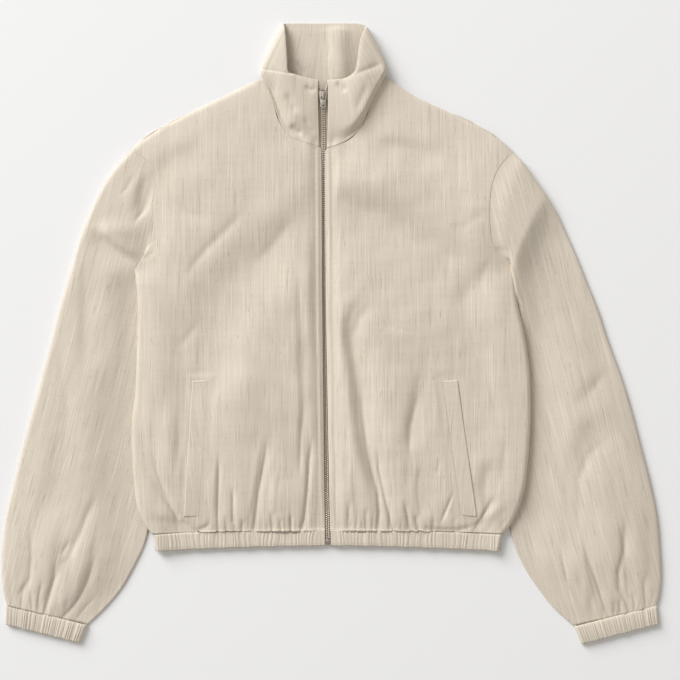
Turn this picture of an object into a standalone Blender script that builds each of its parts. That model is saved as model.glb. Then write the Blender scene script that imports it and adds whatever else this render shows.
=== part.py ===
"""A cream linen-look bomber jacket, laid flat on its back with the front zip closed.

Every cut piece is a thin wall of its own.  Tables are in millimetres, seen from above:
x runs to the right, y towards the collar, z up off the surface.
"""

import math

import bmesh
import bpy
import numpy as np
from mathutils import Matrix, Vector

MM = 0.001
CLOTH = 1.2             # wall of one cloth layer
DOUBLE = 1.8            # wall of a doubled piece: collar, hem band, cuffs
SEAM_GAP = 0.3          # space between neighbouring pieces
TUCK_LIFT = 3.1         # how far the body's sides ride up on the sleeves
LOFT = 1.6              # air between front and back
BLOUSE = 1.5            # more air just above the hem band
FOLD_EDGE = 16.0        # width over which a front falls to a folded edge
EDGE_ROUND = 1.3        # depth of the turn at a sleeve's folded edge

CREAM = (0.63, 0.56, 0.46, 1.0)
CREAM_DARK = (0.58, 0.51, 0.42, 1.0)
TAPE_CREAM = (0.60, 0.53, 0.43, 1.0)
NICKEL = (0.32, 0.30, 0.28, 1.0)

# ---------------------------------------------------------------- outlines
# Half 0 is at -x, the wearer's right.  Each path runs from the hem up to the neck.
# columns: x, y
SIDE = (
    ((-216.0, -242.0), (-222.5, -233.5), (-232.8, -212.0), (-237.4, -184.0), (-239.6, -152.0), (-240.6, -112.0),
     (-236.4, -73.0), (-234.8, -30.0), (-233.6, 12.0), (-233.6, 44.0), (-237.0, 76.0)),
    ((206.2, -241.4), (213.2, -233.6), (223.8, -214.0), (232.0, -189.0), (236.6, -152.0), (239.2, -110.0),
     (239.6, -78.0), (237.6, -38.0), (231.6, 2.0), (222.8, 44.0), (220.2, 84.0)),
)
ARMHOLE = (
    ((-237.0, 76.0), (-228.4, 90.0), (-218.0, 108.0), (-214.0, 130.0), (-213.4, 158.0), (-210.4, 180.0),
     (-211.6, 198.0), (-224.0, 210.0), (-241.8, 220.0)),
    ((220.2, 84.0), (206.0, 92.4), (195.0, 106.0), (190.6, 126.0), (189.8, 151.0), (192.4, 176.0),
     (199.0, 195.0), (208.6, 208.4), (218.4, 219.2)),
)
SHOULDER = (
    ((-241.8, 220.0), (-229.8, 232.0), (-202.2, 250.0), (-166.2, 268.0), (-129.0, 286.0), (-91.8, 304.0)),
    ((218.4, 219.2), (204.6, 232.0), (177.0, 250.0), (138.6, 268.0), (100.2, 286.0), (73.2, 303.6)),
)
NECK = (
    ((-13.6, 223.6), (-33.0, 229.6), (-49.8, 236.8), (-60.6, 250.0), (-72.6, 283.6), (-83.4, 307.0)),
    ((-5.0, 222.6), (6.6, 226.0), (22.2, 233.2), (34.2, 246.0), (52.2, 284.0), (65.4, 306.6)),
)
BACK_NECK_Y = 293.2     # middle of the back neck seam
HEM_Y = -234.8          # band seam beside the zip
HEM_SAG = 6.8           # how much lower the band seam is at the side
HEM_HALF = 214.0

# Closed zip: columns: y, x of its middle, height of the tape's underside
ZIP_RUN = (
    (-256.0, -4.2, 2.1), (-236.0, -4.6, 2.1), (-200.0, -5.4, 1.7), (40.0, -9.0, 1.6), (195.0, -9.8, 1.7),
    (222.0, -9.9, 3.2), (250.0, -10.0, 6.6), (278.0, -10.1, 9.2), (303.0, -10.2, 10.2),
)
ZIP_OPEN_FROM = 283.0   # the rows part inside the slider
ZIP_PART = 4.6          # how far each row has moved out at the top
TAPE_THICK = 0.8
TAPE_WIDTH = 13.0
ROW_WIDTH = 2.7
ROW_HIGH = 2.0
FRONT_TO_ZIP = 3.6      # a front's edge to the zip's middle

# ---------------------------------------------------------------- folds
# Folds that rise from the hem band.
# columns: x at the band, z against the smooth cloth, reach up the front
HEM_FOLDS = (
    ((-209.0, -0.5, 45), (-203.0, 0.8, 60), (-196.0, -0.6, 40), (-187.0, 0.9, 70), (-171.6, -2.6, 60),
     (-160.0, 1.9, 80), (-146.0, 1.2, 90), (-135.0, -1.6, 45), (-127.0, 0.9, 60), (-119.0, -1.5, 60),
     (-107.0, 1.2, 80), (-95.4, -2.2, 110), (-83.0, 1.2, 90), (-72.6, -1.0, 50), (-60.0, 0.9, 70),
     (-49.0, 1.4, 80), (-38.4, -2.9, 200), (-27.0, 1.1, 120)),
    ((20.4, 0.7, 60), (36.0, -1.0, 60), (44.0, 1.0, 90), (54.6, -2.4, 150), (63.0, 1.3, 120), (72.6, -2.0, 70),
     (83.0, 1.0, 70), (94.2, -2.0, 60), (101.0, 0.8, 50), (107.0, -1.8, 45), (120.0, 1.8, 70),
     (131.0, -0.9, 40), (146.0, 2.0, 90), (160.0, 0.4, 60), (174.6, -2.7, 70), (184.0, 1.4, 70),
     (192.0, -1.2, 40), (199.0, 0.6, 40)),
)
# Soft folds across the body.
# columns: x and y of one end, x and y of the other, half width, z in the middle
BODY_FOLDS = (
    (-98.0, 154.0, -151.0, 100.0, 15.0, -1.1), (-151.0, 100.0, -182.0, 52.0, 15.0, -1.0),
    (-44.0, 142.0, -98.0, 76.0, 16.0, -0.8), (-158.0, 16.0, -188.0, -20.0, 13.0, -0.9),
    (-40.0, 100.0, -38.0, -234.0, 11.0, -0.9), (-70.0, 40.0, -62.0, -90.0, 18.0, 0.7),
    (52.0, 40.0, 24.0, 10.0, 14.0, -0.7), (24.0, 10.0, 42.0, -84.0, 14.0, -0.9),
    (42.0, -84.0, 56.0, -200.0, 12.0, -0.8),
    (106.0, -44.0, 92.0, -130.0, 13.0, -1.0), (92.0, -130.0, 100.0, -210.0, 13.0, -0.7),
    (-14.0, 172.0, 84.0, 118.0, 17.0, -0.6), (84.0, 118.0, 166.0, 76.0, 16.0, -0.5),
    (150.0, 100.0, 176.0, 20.0, 15.0, 0.7), (190.0, -60.0, 204.0, -170.0, 16.0, -0.8),
    (-206.0, -60.0, -200.0, -170.0, 14.0, -0.9), (-120.0, 170.0, -150.0, 230.0, 16.0, 0.6),
)

# Sleeve sections from the armhole to the cuff.
# columns: outer x, outer y, inner x, inner y, bow towards the body, height, width kept flat inside
SLEEVES = (
    (
        (-254.0, 207.0, -238.0, 68.0, 18.0, 4.6, 2.0),
        (-266.0, 192.5, -236.6, 59.0, 10.0, 5.2, 3.0),
        (-279.0, 171.0, -235.4, 50.0, 4.0, 5.6, 6.0),
        (-290.0, 147.0, -231.6, 39.0, 0.0, 5.8, 12.0),
        (-299.0, 126.0, -229.0, 26.0, 0.0, 5.9, 15.0),
        (-307.6, 99.0, -227.0, 8.0, 0.0, 6.0, 19.0),
        (-316.4, 69.0, -223.4, -14.0, 0.0, 6.1, 22.0),
        (-327.0, 34.0, -221.4, -42.0, 0.0, 6.2, 23.0),
        (-337.4, -8.0, -220.4, -76.0, 0.0, 6.2, 24.0),
        (-349.0, -50.0, -220.2, -112.0, 0.0, 6.2, 26.0),
        (-360.4, -92.0, -219.6, -148.0, 0.0, 6.2, 26.0),
        (-371.6, -134.0, -218.6, -182.0, 0.0, 6.2, 25.0),
        (-382.6, -178.0, -218.0, -214.0, 0.0, 6.2, 25.0),
        (-393.0, -222.0, -224.0, -250.0, 0.0, 6.2, 18.0),
        (-397.2, -258.0, -238.0, -281.0, 0.0, 6.2, 5.0),
        (-398.0, -290.0, -253.0, -307.0, 0.0, 6.0, 3.0),
        (-395.6, -314.0, -273.0, -331.0, 0.0, 5.6, 2.0),
        (-391.4, -327.6, -294.6, -351.6, 0.0, 4.8, 2.0),
    ),
    (
        (232.0, 205.0, 222.2, 75.0, -14.0, 4.6, 2.0),
        (244.0, 188.0, 222.6, 65.0, -8.0, 5.2, 3.0),
        (258.0, 168.0, 223.6, 53.0, -3.0, 5.6, 5.0),
        (271.0, 147.0, 221.6, 41.0, 0.0, 5.8, 12.0),
        (283.0, 121.0, 220.4, 27.0, 0.0, 5.9, 15.0),
        (296.0, 92.0, 221.4, 8.0, 0.0, 6.0, 19.0),
        (308.6, 60.0, 220.0, -14.0, 0.0, 6.1, 24.0),
        (321.0, 30.0, 219.4, -42.0, 0.0, 6.2, 26.0),
        (333.6, -8.0, 219.2, -76.0, 0.0, 6.2, 27.0),
        (349.0, -50.0, 219.0, -112.0, 0.0, 6.2, 27.0),
        (362.0, -92.0, 217.6, -148.0, 0.0, 6.2, 26.0),
        (373.0, -134.0, 215.0, -182.0, 0.0, 6.2, 24.0),
        (385.0, -180.0, 212.6, -214.0, 0.0, 6.2, 26.0),
        (393.4, -222.0, 219.0, -250.0, 0.0, 6.2, 18.0),
        (396.4, -258.0, 232.0, -281.0, 0.0, 6.2, 5.0),
        (398.0, -290.0, 249.0, -307.0, 0.0, 6.0, 3.0),
        (396.0, -314.0, 268.0, -331.0, 0.0, 5.6, 2.0),
        (392.0, -328.6, 292.6, -353.4, 0.0, 4.8, 2.0),
    ),
)
# Folds that run up a sleeve from its cuff, one for each line of points from the outer edge in.
# columns: z against the smooth cloth at the cuff, reach up the sleeve
CUFF_FOLDS = (
    ((0.0, 1), (0.0, 1), (0.4, 60), (-1.0, 50), (0.9, 90), (-1.1, 60), (0.7, 120), (-1.3, 140), (1.0, 150),
     (-1.2, 110), (0.8, 80), (-0.7, 50), (0.0, 1), (0.0, 1)),
    ((0.0, 1), (0.0, 1), (-0.8, 50), (0.8, 90), (-1.3, 120), (1.0, 140), (-0.8, 70), (0.9, 150), (-1.2, 90),
     (0.7, 110), (-1.1, 90), (0.6, 60), (0.0, 1), (0.0, 1)),
)
# Places of those lines across the sleeve: shares of the width after the rounded edge
ACROSS = (0.0, 0.0, 0.035, 0.10, 0.185, 0.28, 0.38, 0.48, 0.58, 0.68, 0.775, 0.865, 1.0, 1.0)

# ---------------------------------------------------------------- collar, band, cuffs, welts
# Collar from the zip at -x round the back to the zip at +x.
# columns: seam x, y, z of the outer face; middle x, y, z; top edge x, y, z; side the wall's inner face lies on
COLLAR = (
    (-14.2, 225.0, 6.6, -15.8, 264.0, 13.2, -15.8, 304.0, 14.4),
    (-23.0, 227.4, 6.6, -22.0, 265.0, 13.8, -21.6, 304.8, 14.6),
    (-33.2, 230.4, 6.4, -32.0, 268.0, 14.0, -31.2, 306.8, 14.6),
    (-49.6, 238.0, 6.2, -45.0, 276.0, 13.6, -42.6, 310.6, 14.4),
    (-60.0, 251.0, 6.0, -54.0, 291.0, 13.0, -51.0, 316.6, 13.8),
    (-66.6, 268.0, 6.0, -62.0, 301.0, 12.0, -53.0, 329.0, 13.0),
    (-72.4, 284.6, 5.8, -68.0, 312.0, 10.6, -54.2, 345.0, 11.6),
    (-79.0, 299.0, 5.6, -73.4, 323.0, 8.6, -55.4, 359.0, 9.6),
    (-83.4, 309.4, 5.0, -76.8, 330.6, 6.6, -56.8, 369.2, 7.0),
    (-84.8, 311.4, 2.6, -78.4, 333.0, 3.2, -58.4, 373.4, 3.4),
    (-81.6, 309.6, 0.0, -75.4, 332.0, 0.0, -56.6, 374.0, 0.0),
    (-70.0, 299.4, 0.0, -60.0, 332.0, 0.0, -48.0, 374.0, 0.0),
    (-50.0, 294.8, 0.0, -40.0, 333.0, 0.0, -34.0, 374.0, 0.0),
    (-30.0, 293.6, 0.0, -24.0, 333.0, 0.0, -21.0, 374.0, 0.0),
    (-9.0, 293.5, 0.0, -8.0, 333.0, 0.0, -8.0, 374.0, 0.0),
    (12.0, 293.6, 0.0, 8.0, 333.0, 0.0, 6.0, 374.0, 0.0),
    (32.0, 294.8, 0.0, 24.0, 333.0, 0.0, 20.0, 374.0, 0.0),
    (52.0, 299.4, 0.0, 42.0, 332.0, 0.0, 32.0, 373.8, 0.0),
    (63.4, 309.2, 0.0, 58.0, 332.0, 0.0, 40.4, 371.0, 0.0),
    (66.6, 311.0, 2.6, 61.4, 333.0, 3.2, 42.8, 368.4, 3.4),
    (65.2, 309.0, 5.0, 59.6, 330.0, 6.6, 40.6, 365.6, 7.0),
    (60.0, 298.4, 5.6, 54.6, 321.0, 8.8, 36.0, 357.0, 9.8),
    (52.4, 284.6, 5.8, 49.6, 311.0, 10.8, 32.8, 342.0, 11.8),
    (45.0, 269.0, 6.0, 44.0, 299.0, 12.2, 30.8, 326.0, 13.2),
    (35.2, 248.4, 6.0, 36.6, 284.0, 13.2, 27.4, 313.0, 14.0),
    (22.6, 235.6, 6.2, 27.0, 272.0, 13.8, 18.6, 306.4, 14.6),
    (7.0, 227.4, 6.4, 9.0, 266.0, 14.0, 7.0, 304.4, 14.6),
    (-5.6, 224.0, 6.6, -4.3, 264.0, 13.2, -4.4, 304.0, 14.4),
)
BAND_DEEP = 20.6        # height of the hem band
BAND_TOP = 3.2          # underside of its front layer
BAND_ENDS = (-211.6, 202.4)
GATHERS = 23            # on each half of the band's front
GATHER_RISE = 0.8
CUFF_GATHERS = 15
# columns: top corner at the outer end, top corner at the inner end, both x, y; drop away from the sleeve x, y
CUFFS = (
    (-391.8, -328.2, -294.2, -352.2, -1.6, -20.6),
    (392.4, -329.2, 292.2, -354.0, 4.4, -20.2),
)
# Pocket welts: columns: top x, y of the outer and inner corners, bottom x, y of the same
WELTS = (
    (-167.2, -57.2, -147.0, -56.0, -177.6, -220.4, -158.4, -221.0),
    (151.2, -56.0, 130.4, -57.2, 174.6, -220.4, 153.0, -219.2),
)
WELT_THICK = 1.4

# ---------------------------------------------------------------- zip hardware
SLIDER_Y = 284.8        # middle of the slider
SLIDER_LONG = 12.0
SLIDER_WIDE = (10.6, 8.0)
SLIDER_PLATE = 1.2
POST_HALF = 0.5         # the post stands between the parted rows
POST_FROM = 288.4
CROWN_WIDE = 2.2
PIN_RADIUS = 0.6
TAB_LONG = 14.4
TAB_WIDE = 6.8
TAB_THICK = 1.0
EYE_WIDE = 3.8
ZIP_BOX = (6.4, 6.6, 3.2)

SIDE_LINES = 12         # points along a body's side
ARMHOLE_LINES = len(ACROSS)
SHOULDER_LINES = 7


# ---------------------------------------------------------------- helpers
def smooth(t):
    """0 below 0, 1 above 1, eased between."""
    t = np.clip(t, 0.0, 1.0)
    return t * t * (3 - 2 * t)


def eased(rows, at):
    """The table's columns at a value of the first column, through every row without corners."""
    table = np.array(rows, float)
    keys, values = table[:, 0], table[:, 1:]
    slopes = np.gradient(values, keys, axis=0)
    i = int(np.clip(np.searchsorted(keys, at) - 1, 0, len(keys) - 2))
    span = keys[i + 1] - keys[i]
    t = np.clip((at - keys[i]) / span, 0.0, 1.0)
    start = (1 + 2 * t) * (1 - t) ** 2 * values[i] + t * (1 - t) ** 2 * span * slopes[i]
    end = t * t * (3 - 2 * t) * values[i + 1] + t * t * (t - 1) * span * slopes[i + 1]
    return start + end


def along(path, shares):
    """Points on a path, by shares of its length, eased between its points."""
    points = np.array(path, float)
    lengths = np.concatenate([[0], np.cumsum(np.linalg.norm(np.diff(points, axis=0), axis=1))])
    rows = np.column_stack([lengths / lengths[-1], points])
    return np.array([eased(rows, share) for share in shares])


def distance(x, y, path):
    """How far (x, y) is from a path of straight runs."""
    best = 1e9
    for (ax, ay), (bx, by) in zip(path[:-1], path[1:]):
        run = (bx - ax) ** 2 + (by - ay) ** 2
        t = min(max(((x - ax) * (bx - ax) + (y - ay) * (by - ay)) / run, 0.0), 1.0)
        best = min(best, math.hypot(x - ax - t * (bx - ax), y - ay - t * (by - ay)))
    return best


def cloth_material(name, colour, roughness=0.85, metallic=0.0):
    material = bpy.data.materials.new(name)
    material.use_nodes = True
    shader = material.node_tree.nodes["Principled BSDF"]
    shader.inputs["Base Color"].default_value = colour
    shader.inputs["Roughness"].default_value = roughness
    shader.inputs["Metallic"].default_value = metallic
    material.diffuse_color = colour
    return material


def add_object(name, mesh, material):
    obj = bpy.data.objects.new(name, mesh)
    mesh.materials.append(material)
    jacket.objects.link(obj)
    obj.parent = laid_down
    return obj


def wall(name, outer, inner, material, ring=False):
    """A closed wall between two grids of points; a ring grid joins its last column to its first."""
    outer, inner = np.array(outer, float), np.array(inner, float)
    rows, columns = outer.shape[:2]
    bm = bmesh.new()
    skins = []
    for grid in (outer, inner):
        skins.append([[bm.verts.new(point * MM) for point in row] for row in grid])
    steps = columns if ring else columns - 1
    for i in range(rows - 1):
        for j in range(steps):
            k = (j + 1) % columns
            a, b = skins
            bm.faces.new((a[i][j], a[i][k], a[i + 1][k], a[i + 1][j]))
            bm.faces.new((b[i][j], b[i + 1][j], b[i + 1][k], b[i][k]))
    rims = []
    for i in (0, rows - 1):
        rims += [(i, j, i, (j + 1) % columns, i == 0) for j in range(steps)]
    if not ring:
        for j in (0, columns - 1):
            rims += [(i, j, i + 1, j, j != 0) for i in range(rows - 1)]
    for i, j, k, m, flip in rims:
        a, b = skins
        corners = (a[i][j], a[k][m], b[k][m], b[i][j])
        bm.faces.new(corners if not flip else corners[::-1])
    bmesh.ops.recalc_face_normals(bm, faces=bm.faces)
    mesh = bpy.data.meshes.new(name)
    bm.to_mesh(mesh)
    bm.free()
    mesh.shade_smooth()
    mesh.set_sharp_from_angle(angle=math.radians(50))
    return add_object(name, mesh, material)


# ---------------------------------------------------------------- heights
def tuck(x, y):
    """How far the body is lifted where its side lies on a sleeve."""
    half = 0 if x < -7 else 1
    rows = [(-row[3], row[2]) for row in SLEEVES[half]]
    hidden = abs(eased(rows, -y)[0])
    inward = (abs(x) - hidden + 42.0) / 30.0
    height = smooth((82.0 - y) / 26.0)
    return TUCK_LIFT * smooth(inward) * height


def hem_y(x):
    return HEM_Y - HEM_SAG * (abs(x + 5.0) / HEM_HALF) ** 1.7


def zip_at(y):
    """x of the zip's middle and height of the tape's underside."""
    keys, middles, heights = zip(*ZIP_RUN)
    return np.array([np.interp(y, keys, middles), np.interp(y, keys, heights)])


def row_shift(y):
    """How far each row of teeth has moved out from the zip's middle."""
    return ZIP_PART * smooth((y - ZIP_OPEN_FROM) / (303.0 - ZIP_OPEN_FROM))


def on_welt(x, y, half):
    """1 on the pocket's welt and just round it, 0 a little way off."""
    ox, oy, ix, iy, bx, by, cx, cy = WELTS[half]
    t = min(max((oy - y) / (oy - by), 0.0), 1.0)
    middle = ((ox + ix) * (1 - t) + (bx + cx) * t) / 2
    off = max(abs(x - middle) - 13.0, y - oy - 4.0, by - y - 3.0)
    return 1 - float(smooth(off / 9.0))


def front_under(x, y, half, across, fold):
    """Height of a front's underside; fold is what the fold lines from the band add."""
    edge = min(distance(x, y, SIDE[half]), distance(x, y, SHOULDER[half]))
    fall = float(smooth((edge + 2.0) / FOLD_EDGE))
    above = y - hem_y(x)
    puff = BLOUSE * float(smooth((above + 1) / 14)) * (1 - float(smooth((above - 35) / 90)))
    near_band = 0.5 + 0.5 * float(smooth(above / 10))
    soft = 0.0
    for ax, ay, bx, by, wide, deep in BODY_FOLDS:
        off = distance(x, y, ((ax, ay), (bx, by)))
        soft += deep * math.exp(-((off / wide) ** 2))
    free = 1 - on_welt(x, y, half)
    beside_zip = float(smooth((abs(x - zip_at(y)[0]) - 12) / 18))
    raised = LOFT + puff + (soft * free * beside_zip + fold * near_band * (1 - 0.75 * (1 - free))) * across
    neck = 1.5 * math.exp(-((distance(x, y, NECK[half]) / 26.0) ** 2))
    low = CLOTH + SEAM_GAP
    tape = 0.0
    if abs(x - zip_at(y)[0]) < 30:
        tape = max(0.0, float(zip_at(y)[1]) + TAPE_THICK + SEAM_GAP + 0.1 - low - LOFT - puff)
        tape *= 1 - float(smooth((abs(x - zip_at(y)[0]) - 17) / 12))
    height = low + max(0.0, (raised + neck + tape)) * fall
    return height + tuck(x, y)


def body_path(half):
    """The outer edge of a body panel from the hem to the neck, and which part each point is in."""
    side = along(SIDE[half], np.linspace(0, 1, SIDE_LINES))
    armhole = armhole_points(half)
    shoulder = along(SHOULDER[half], np.linspace(0, 1, SHOULDER_LINES))
    return np.concatenate([side, armhole[1:], shoulder[1:]])


def across_shares(length):
    """Shares across a sleeve at its armhole, with a point close to each folded edge."""
    near = EDGE_ROUND / length
    shares = []
    for k, share in enumerate(ACROSS):
        shares.append(near + share * (1 - 2 * near))
    shares[0], shares[-1] = 0.0, 1.0
    return shares


def armhole_points(half):
    """From the armpit to the shoulder, in the places where the sleeve's lines meet it."""
    length = np.linalg.norm(np.diff(np.array(ARMHOLE[half]), axis=0), axis=1).sum()
    return along(ARMHOLE[half][::-1], across_shares(length))[::-1]


# ---------------------------------------------------------------- body panels
def build_back():
    left, right = body_path(0), body_path(1)
    shares = (0.0, 0.012, 0.05, 0.10, 0.2, 0.35, 0.5, 0.65, 0.8, 0.90, 0.95, 0.988, 1.0)
    first_shoulder = len(left) - SHOULDER_LINES
    grid = []
    for i, (a, b) in enumerate(zip(left, right)):
        row = []
        for share in shares:
            x, y = a + (b - a) * share
            if i == 0:
                y = hem_y(x)
            if i > first_shoulder:
                t = (i - first_shoulder) / (SHOULDER_LINES - 1)
                middle = 219.0 + (BACK_NECK_Y - 219.0) * t
                y = middle + (y - middle) * abs(2 * share - 1) ** 3.5
            row.append((x, y, CLOTH + float(tuck(x, y))))
        grid.append(row)
    top = np.array(grid)
    wall("back_panel", top, top - (0, 0, CLOTH), cream)
    return top


def build_front(half, name):
    sign = (-1, 1)[half]
    outer = body_path(half)
    count = len(outer)
    neck_from = count - SHOULDER_LINES
    neck_points = along(NECK[half], np.linspace(0, 1, SHOULDER_LINES))
    folds = HEM_FOLDS[half] if half == 0 else HEM_FOLDS[half][::-1]
    grid = []
    for i in range(count):
        ox, oy = outer[i]
        if i < neck_from:
            t = i / neck_from
            zip_low = HEM_Y if i == 0 else oy
            iy = zip_low if i < SIDE_LINES else oy + (NECK[half][0][1] - 220.0) * (t ** 3)
            ix = zip_at(iy)[0] + sign * FRONT_TO_ZIP
        else:
            ix, iy = neck_points[i - neck_from]
        row = []
        hem_share = [0.0, EDGE_ROUND / HEM_HALF]
        span = (ix - SIDE[half][0][0])
        hem_share += [(x - SIDE[half][0][0]) / span for x, _, _ in folds]
        hem_share = [min(max(s, 0.0), 1.0) for s in hem_share] + [0.975, 1.0]
        columns = len(hem_share)
        even = [0.0, 0.01, 0.045] + list(np.linspace(0.095, 0.96, columns - 5)) + [0.98, 1.0]
        rise = float(smooth((oy - HEM_Y + 8) / 330.0)) if i < neck_from else 1.0
        if i == 0:
            rise = 0.0
        for j in range(columns):
            share = hem_share[j] * (1 - rise) + even[j] * rise
            x = ox + (ix - ox) * share
            y = oy + (iy - oy) * share
            if i == 0:
                y = hem_y(x)
            fold = 0.0
            if 2 <= j < columns - 2:
                _, deep, reach = folds[j - 2]
                fold = deep * max(0.0, 1 - (y - hem_y(x)) / reach) ** 1.3
            across = float(smooth(min(share, 1 - share) * 8))
            row.append((x, y, front_under(x, y, half, across, fold) + CLOTH))
        grid.append(row)
    top = np.array(grid)
    wall(name, top, top - (0, 0, CLOTH), cream)
    return top


# ---------------------------------------------------------------- sleeves
def sleeve_lines(half):
    """Outer points of each section's upper layer, their distance from the nearer edge, and their table values."""
    sign = (-1, 1)[half]
    seam = armhole_points(half)[::-1]
    out = np.array([[x, y] for x, y in seam])
    shifted = []
    for k, point in enumerate(out):
        before, after = out[max(k - 1, 0)], out[min(k + 1, len(out) - 1)]
        tangent = (after - before) / np.linalg.norm(after - before)
        normal = np.array([-tangent[1], tangent[0]])
        if normal[0] * sign < 0:
            normal = -normal
        at_armpit = np.array([sign * 1.2, -0.6]) if k >= len(out) - 2 else 0.0
        shifted.append(point + normal * (SEAM_GAP + 0.05) + at_armpit)
    sections = [(np.array(shifted), 4.3, 2.0)]
    for ax, ay, bx, by, bow, high, flat in SLEEVES[half]:
        a, b = np.array([ax, ay]), np.array([bx, by])
        length = np.linalg.norm(b - a)
        shares = across_shares(length)
        tangent = (b - a) / length
        normal = np.array([-tangent[1], tangent[0]])
        if normal[0] > 0:
            normal = -normal
        points = [a + (b - a) * s - normal * (bow * 4 * s * (1 - s)) for s in shares]
        sections.append((np.array(points), high, flat))
    return sections


def build_sleeve(half, name):
    sections = sleeve_lines(half)
    folds = CUFF_FOLDS[half]
    cuff_middle = sections[-1][0].mean(axis=0)
    low_top = 2 * CLOTH + SEAM_GAP
    outer, inner = [], []
    for points, high, flat in sections:
        spans = np.linalg.norm(np.diff(points, axis=0), axis=1)
        run = np.concatenate([[0], np.cumsum(spans)])
        from_outer, from_inner = run, run[-1] - run
        upper, upper_in, lower, lower_in = [], [], [], []
        last = len(points) - 1
        towards = (points[last] - points[0]) / np.linalg.norm(points[last] - points[0])
        for k, (x, y) in enumerate(points):
            rise = min(float(smooth(from_outer[k] / 20)), float(smooth((from_inner[k] - flat) / 20)))
            up = np.linalg.norm(np.array([x, y]) - cuff_middle)
            deep, reach = folds[k]
            fold = deep * max(0.0, 1 - max(0.0, up - 25) / reach)
            z = low_top + (high - low_top) * rise + fold * rise
            z = max(z, low_top)
            if k in (0, last):
                step = towards * EDGE_ROUND * (1 if k == 0 else -1)
                upper.append((x, y, low_top / 2))
                upper_in.append((x + step[0], y + step[1], low_top / 2))
                continue
            shift = np.zeros(2)
            if k in (1, last - 1):
                shift = towards * EDGE_ROUND * (1 if k == 1 else -1)
            upper.append((x, y, z))
            upper_in.append((x + shift[0], y + shift[1], z - CLOTH))
            lower.append((x, y, 0.0))
            lower_in.append((x + shift[0], y + shift[1], CLOTH))
        outer.append(upper + lower[::-1])
        inner.append(upper_in + lower_in[::-1])
    wall(name, outer, inner, cream, ring=True)
    return outer


def gather_share(down):
    """A gather's height as a share of its full height: least at the strip's edges, full in its middle."""
    return 0.25 + 0.75 * math.sin(math.pi * min(max(down, 0.1), 0.9))


def build_cuff(half, name):
    """A short gathered tube below the sleeve."""
    ax, ay, bx, by, dx, dy = CUFFS[half]
    a, b, drop = np.array([ax, ay]), np.array([bx, by]), np.array([dx, dy])
    length = np.linalg.norm(b - a)
    near = 1.6 / length
    shares = [0.0, near]
    ripple = [0.0, 0.0]
    for g in range(CUFF_GATHERS):
        at = (g + 0.5 + 0.18 * math.sin(2.3 * g)) / CUFF_GATHERS
        rise = GATHER_RISE * (0.75 + 0.25 * math.sin(1.7 * g + half))
        step = 0.5 / CUFF_GATHERS
        shares += [near + (1 - 2 * near) * (at - 0.62 * step), near + (1 - 2 * near) * (at + 0.1 * step)]
        ripple += [0.0, rise]
    shares += [1 - near, 1.0]
    ripple += [0.0, 0.0]
    middle = 2.15
    outer, inner = [], []
    for down in (0.0, 0.12, 0.88, 1.0):
        swell = 0.35 * math.sin(math.pi * down)
        upper, upper_in, lower, lower_in = [], [], [], []
        for k, (share, wave) in enumerate(zip(shares, ripple)):
            p = a + (b - a) * share + drop * down
            if share in (0.0, 1.0):
                inward = (b - a) / length * 1.7 * (1 if share == 0.0 else -1)
                upper.append((p[0], p[1], middle))
                upper_in.append((p[0] + inward[0], p[1] + inward[1], middle))
                continue
            rest = 2 * middle + swell * (1 if near * 2 < share < 1 - near * 2 else 0)
            upper.append((p[0], p[1], rest + wave * gather_share(down)))
            inset = max(min(share, 1 - near * 2.2), near * 2.2)
            q = a + (b - a) * inset + drop * down
            upper_in.append((q[0], q[1], 2 * middle - DOUBLE))
        for share in shares[1:-1]:
            p = a + (b - a) * share + drop * down
            inset = max(min(share, 1 - near * 2.2), near * 2.2)
            q = a + (b - a) * inset + drop * down
            lower.append((p[0], p[1], 0.0))
            lower_in.append((q[0], q[1], DOUBLE))
        outer.append(upper + lower[::-1])
        inner.append(upper_in + lower_in[::-1])
    wall(name, outer, inner, cream_dark, ring=True)


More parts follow.
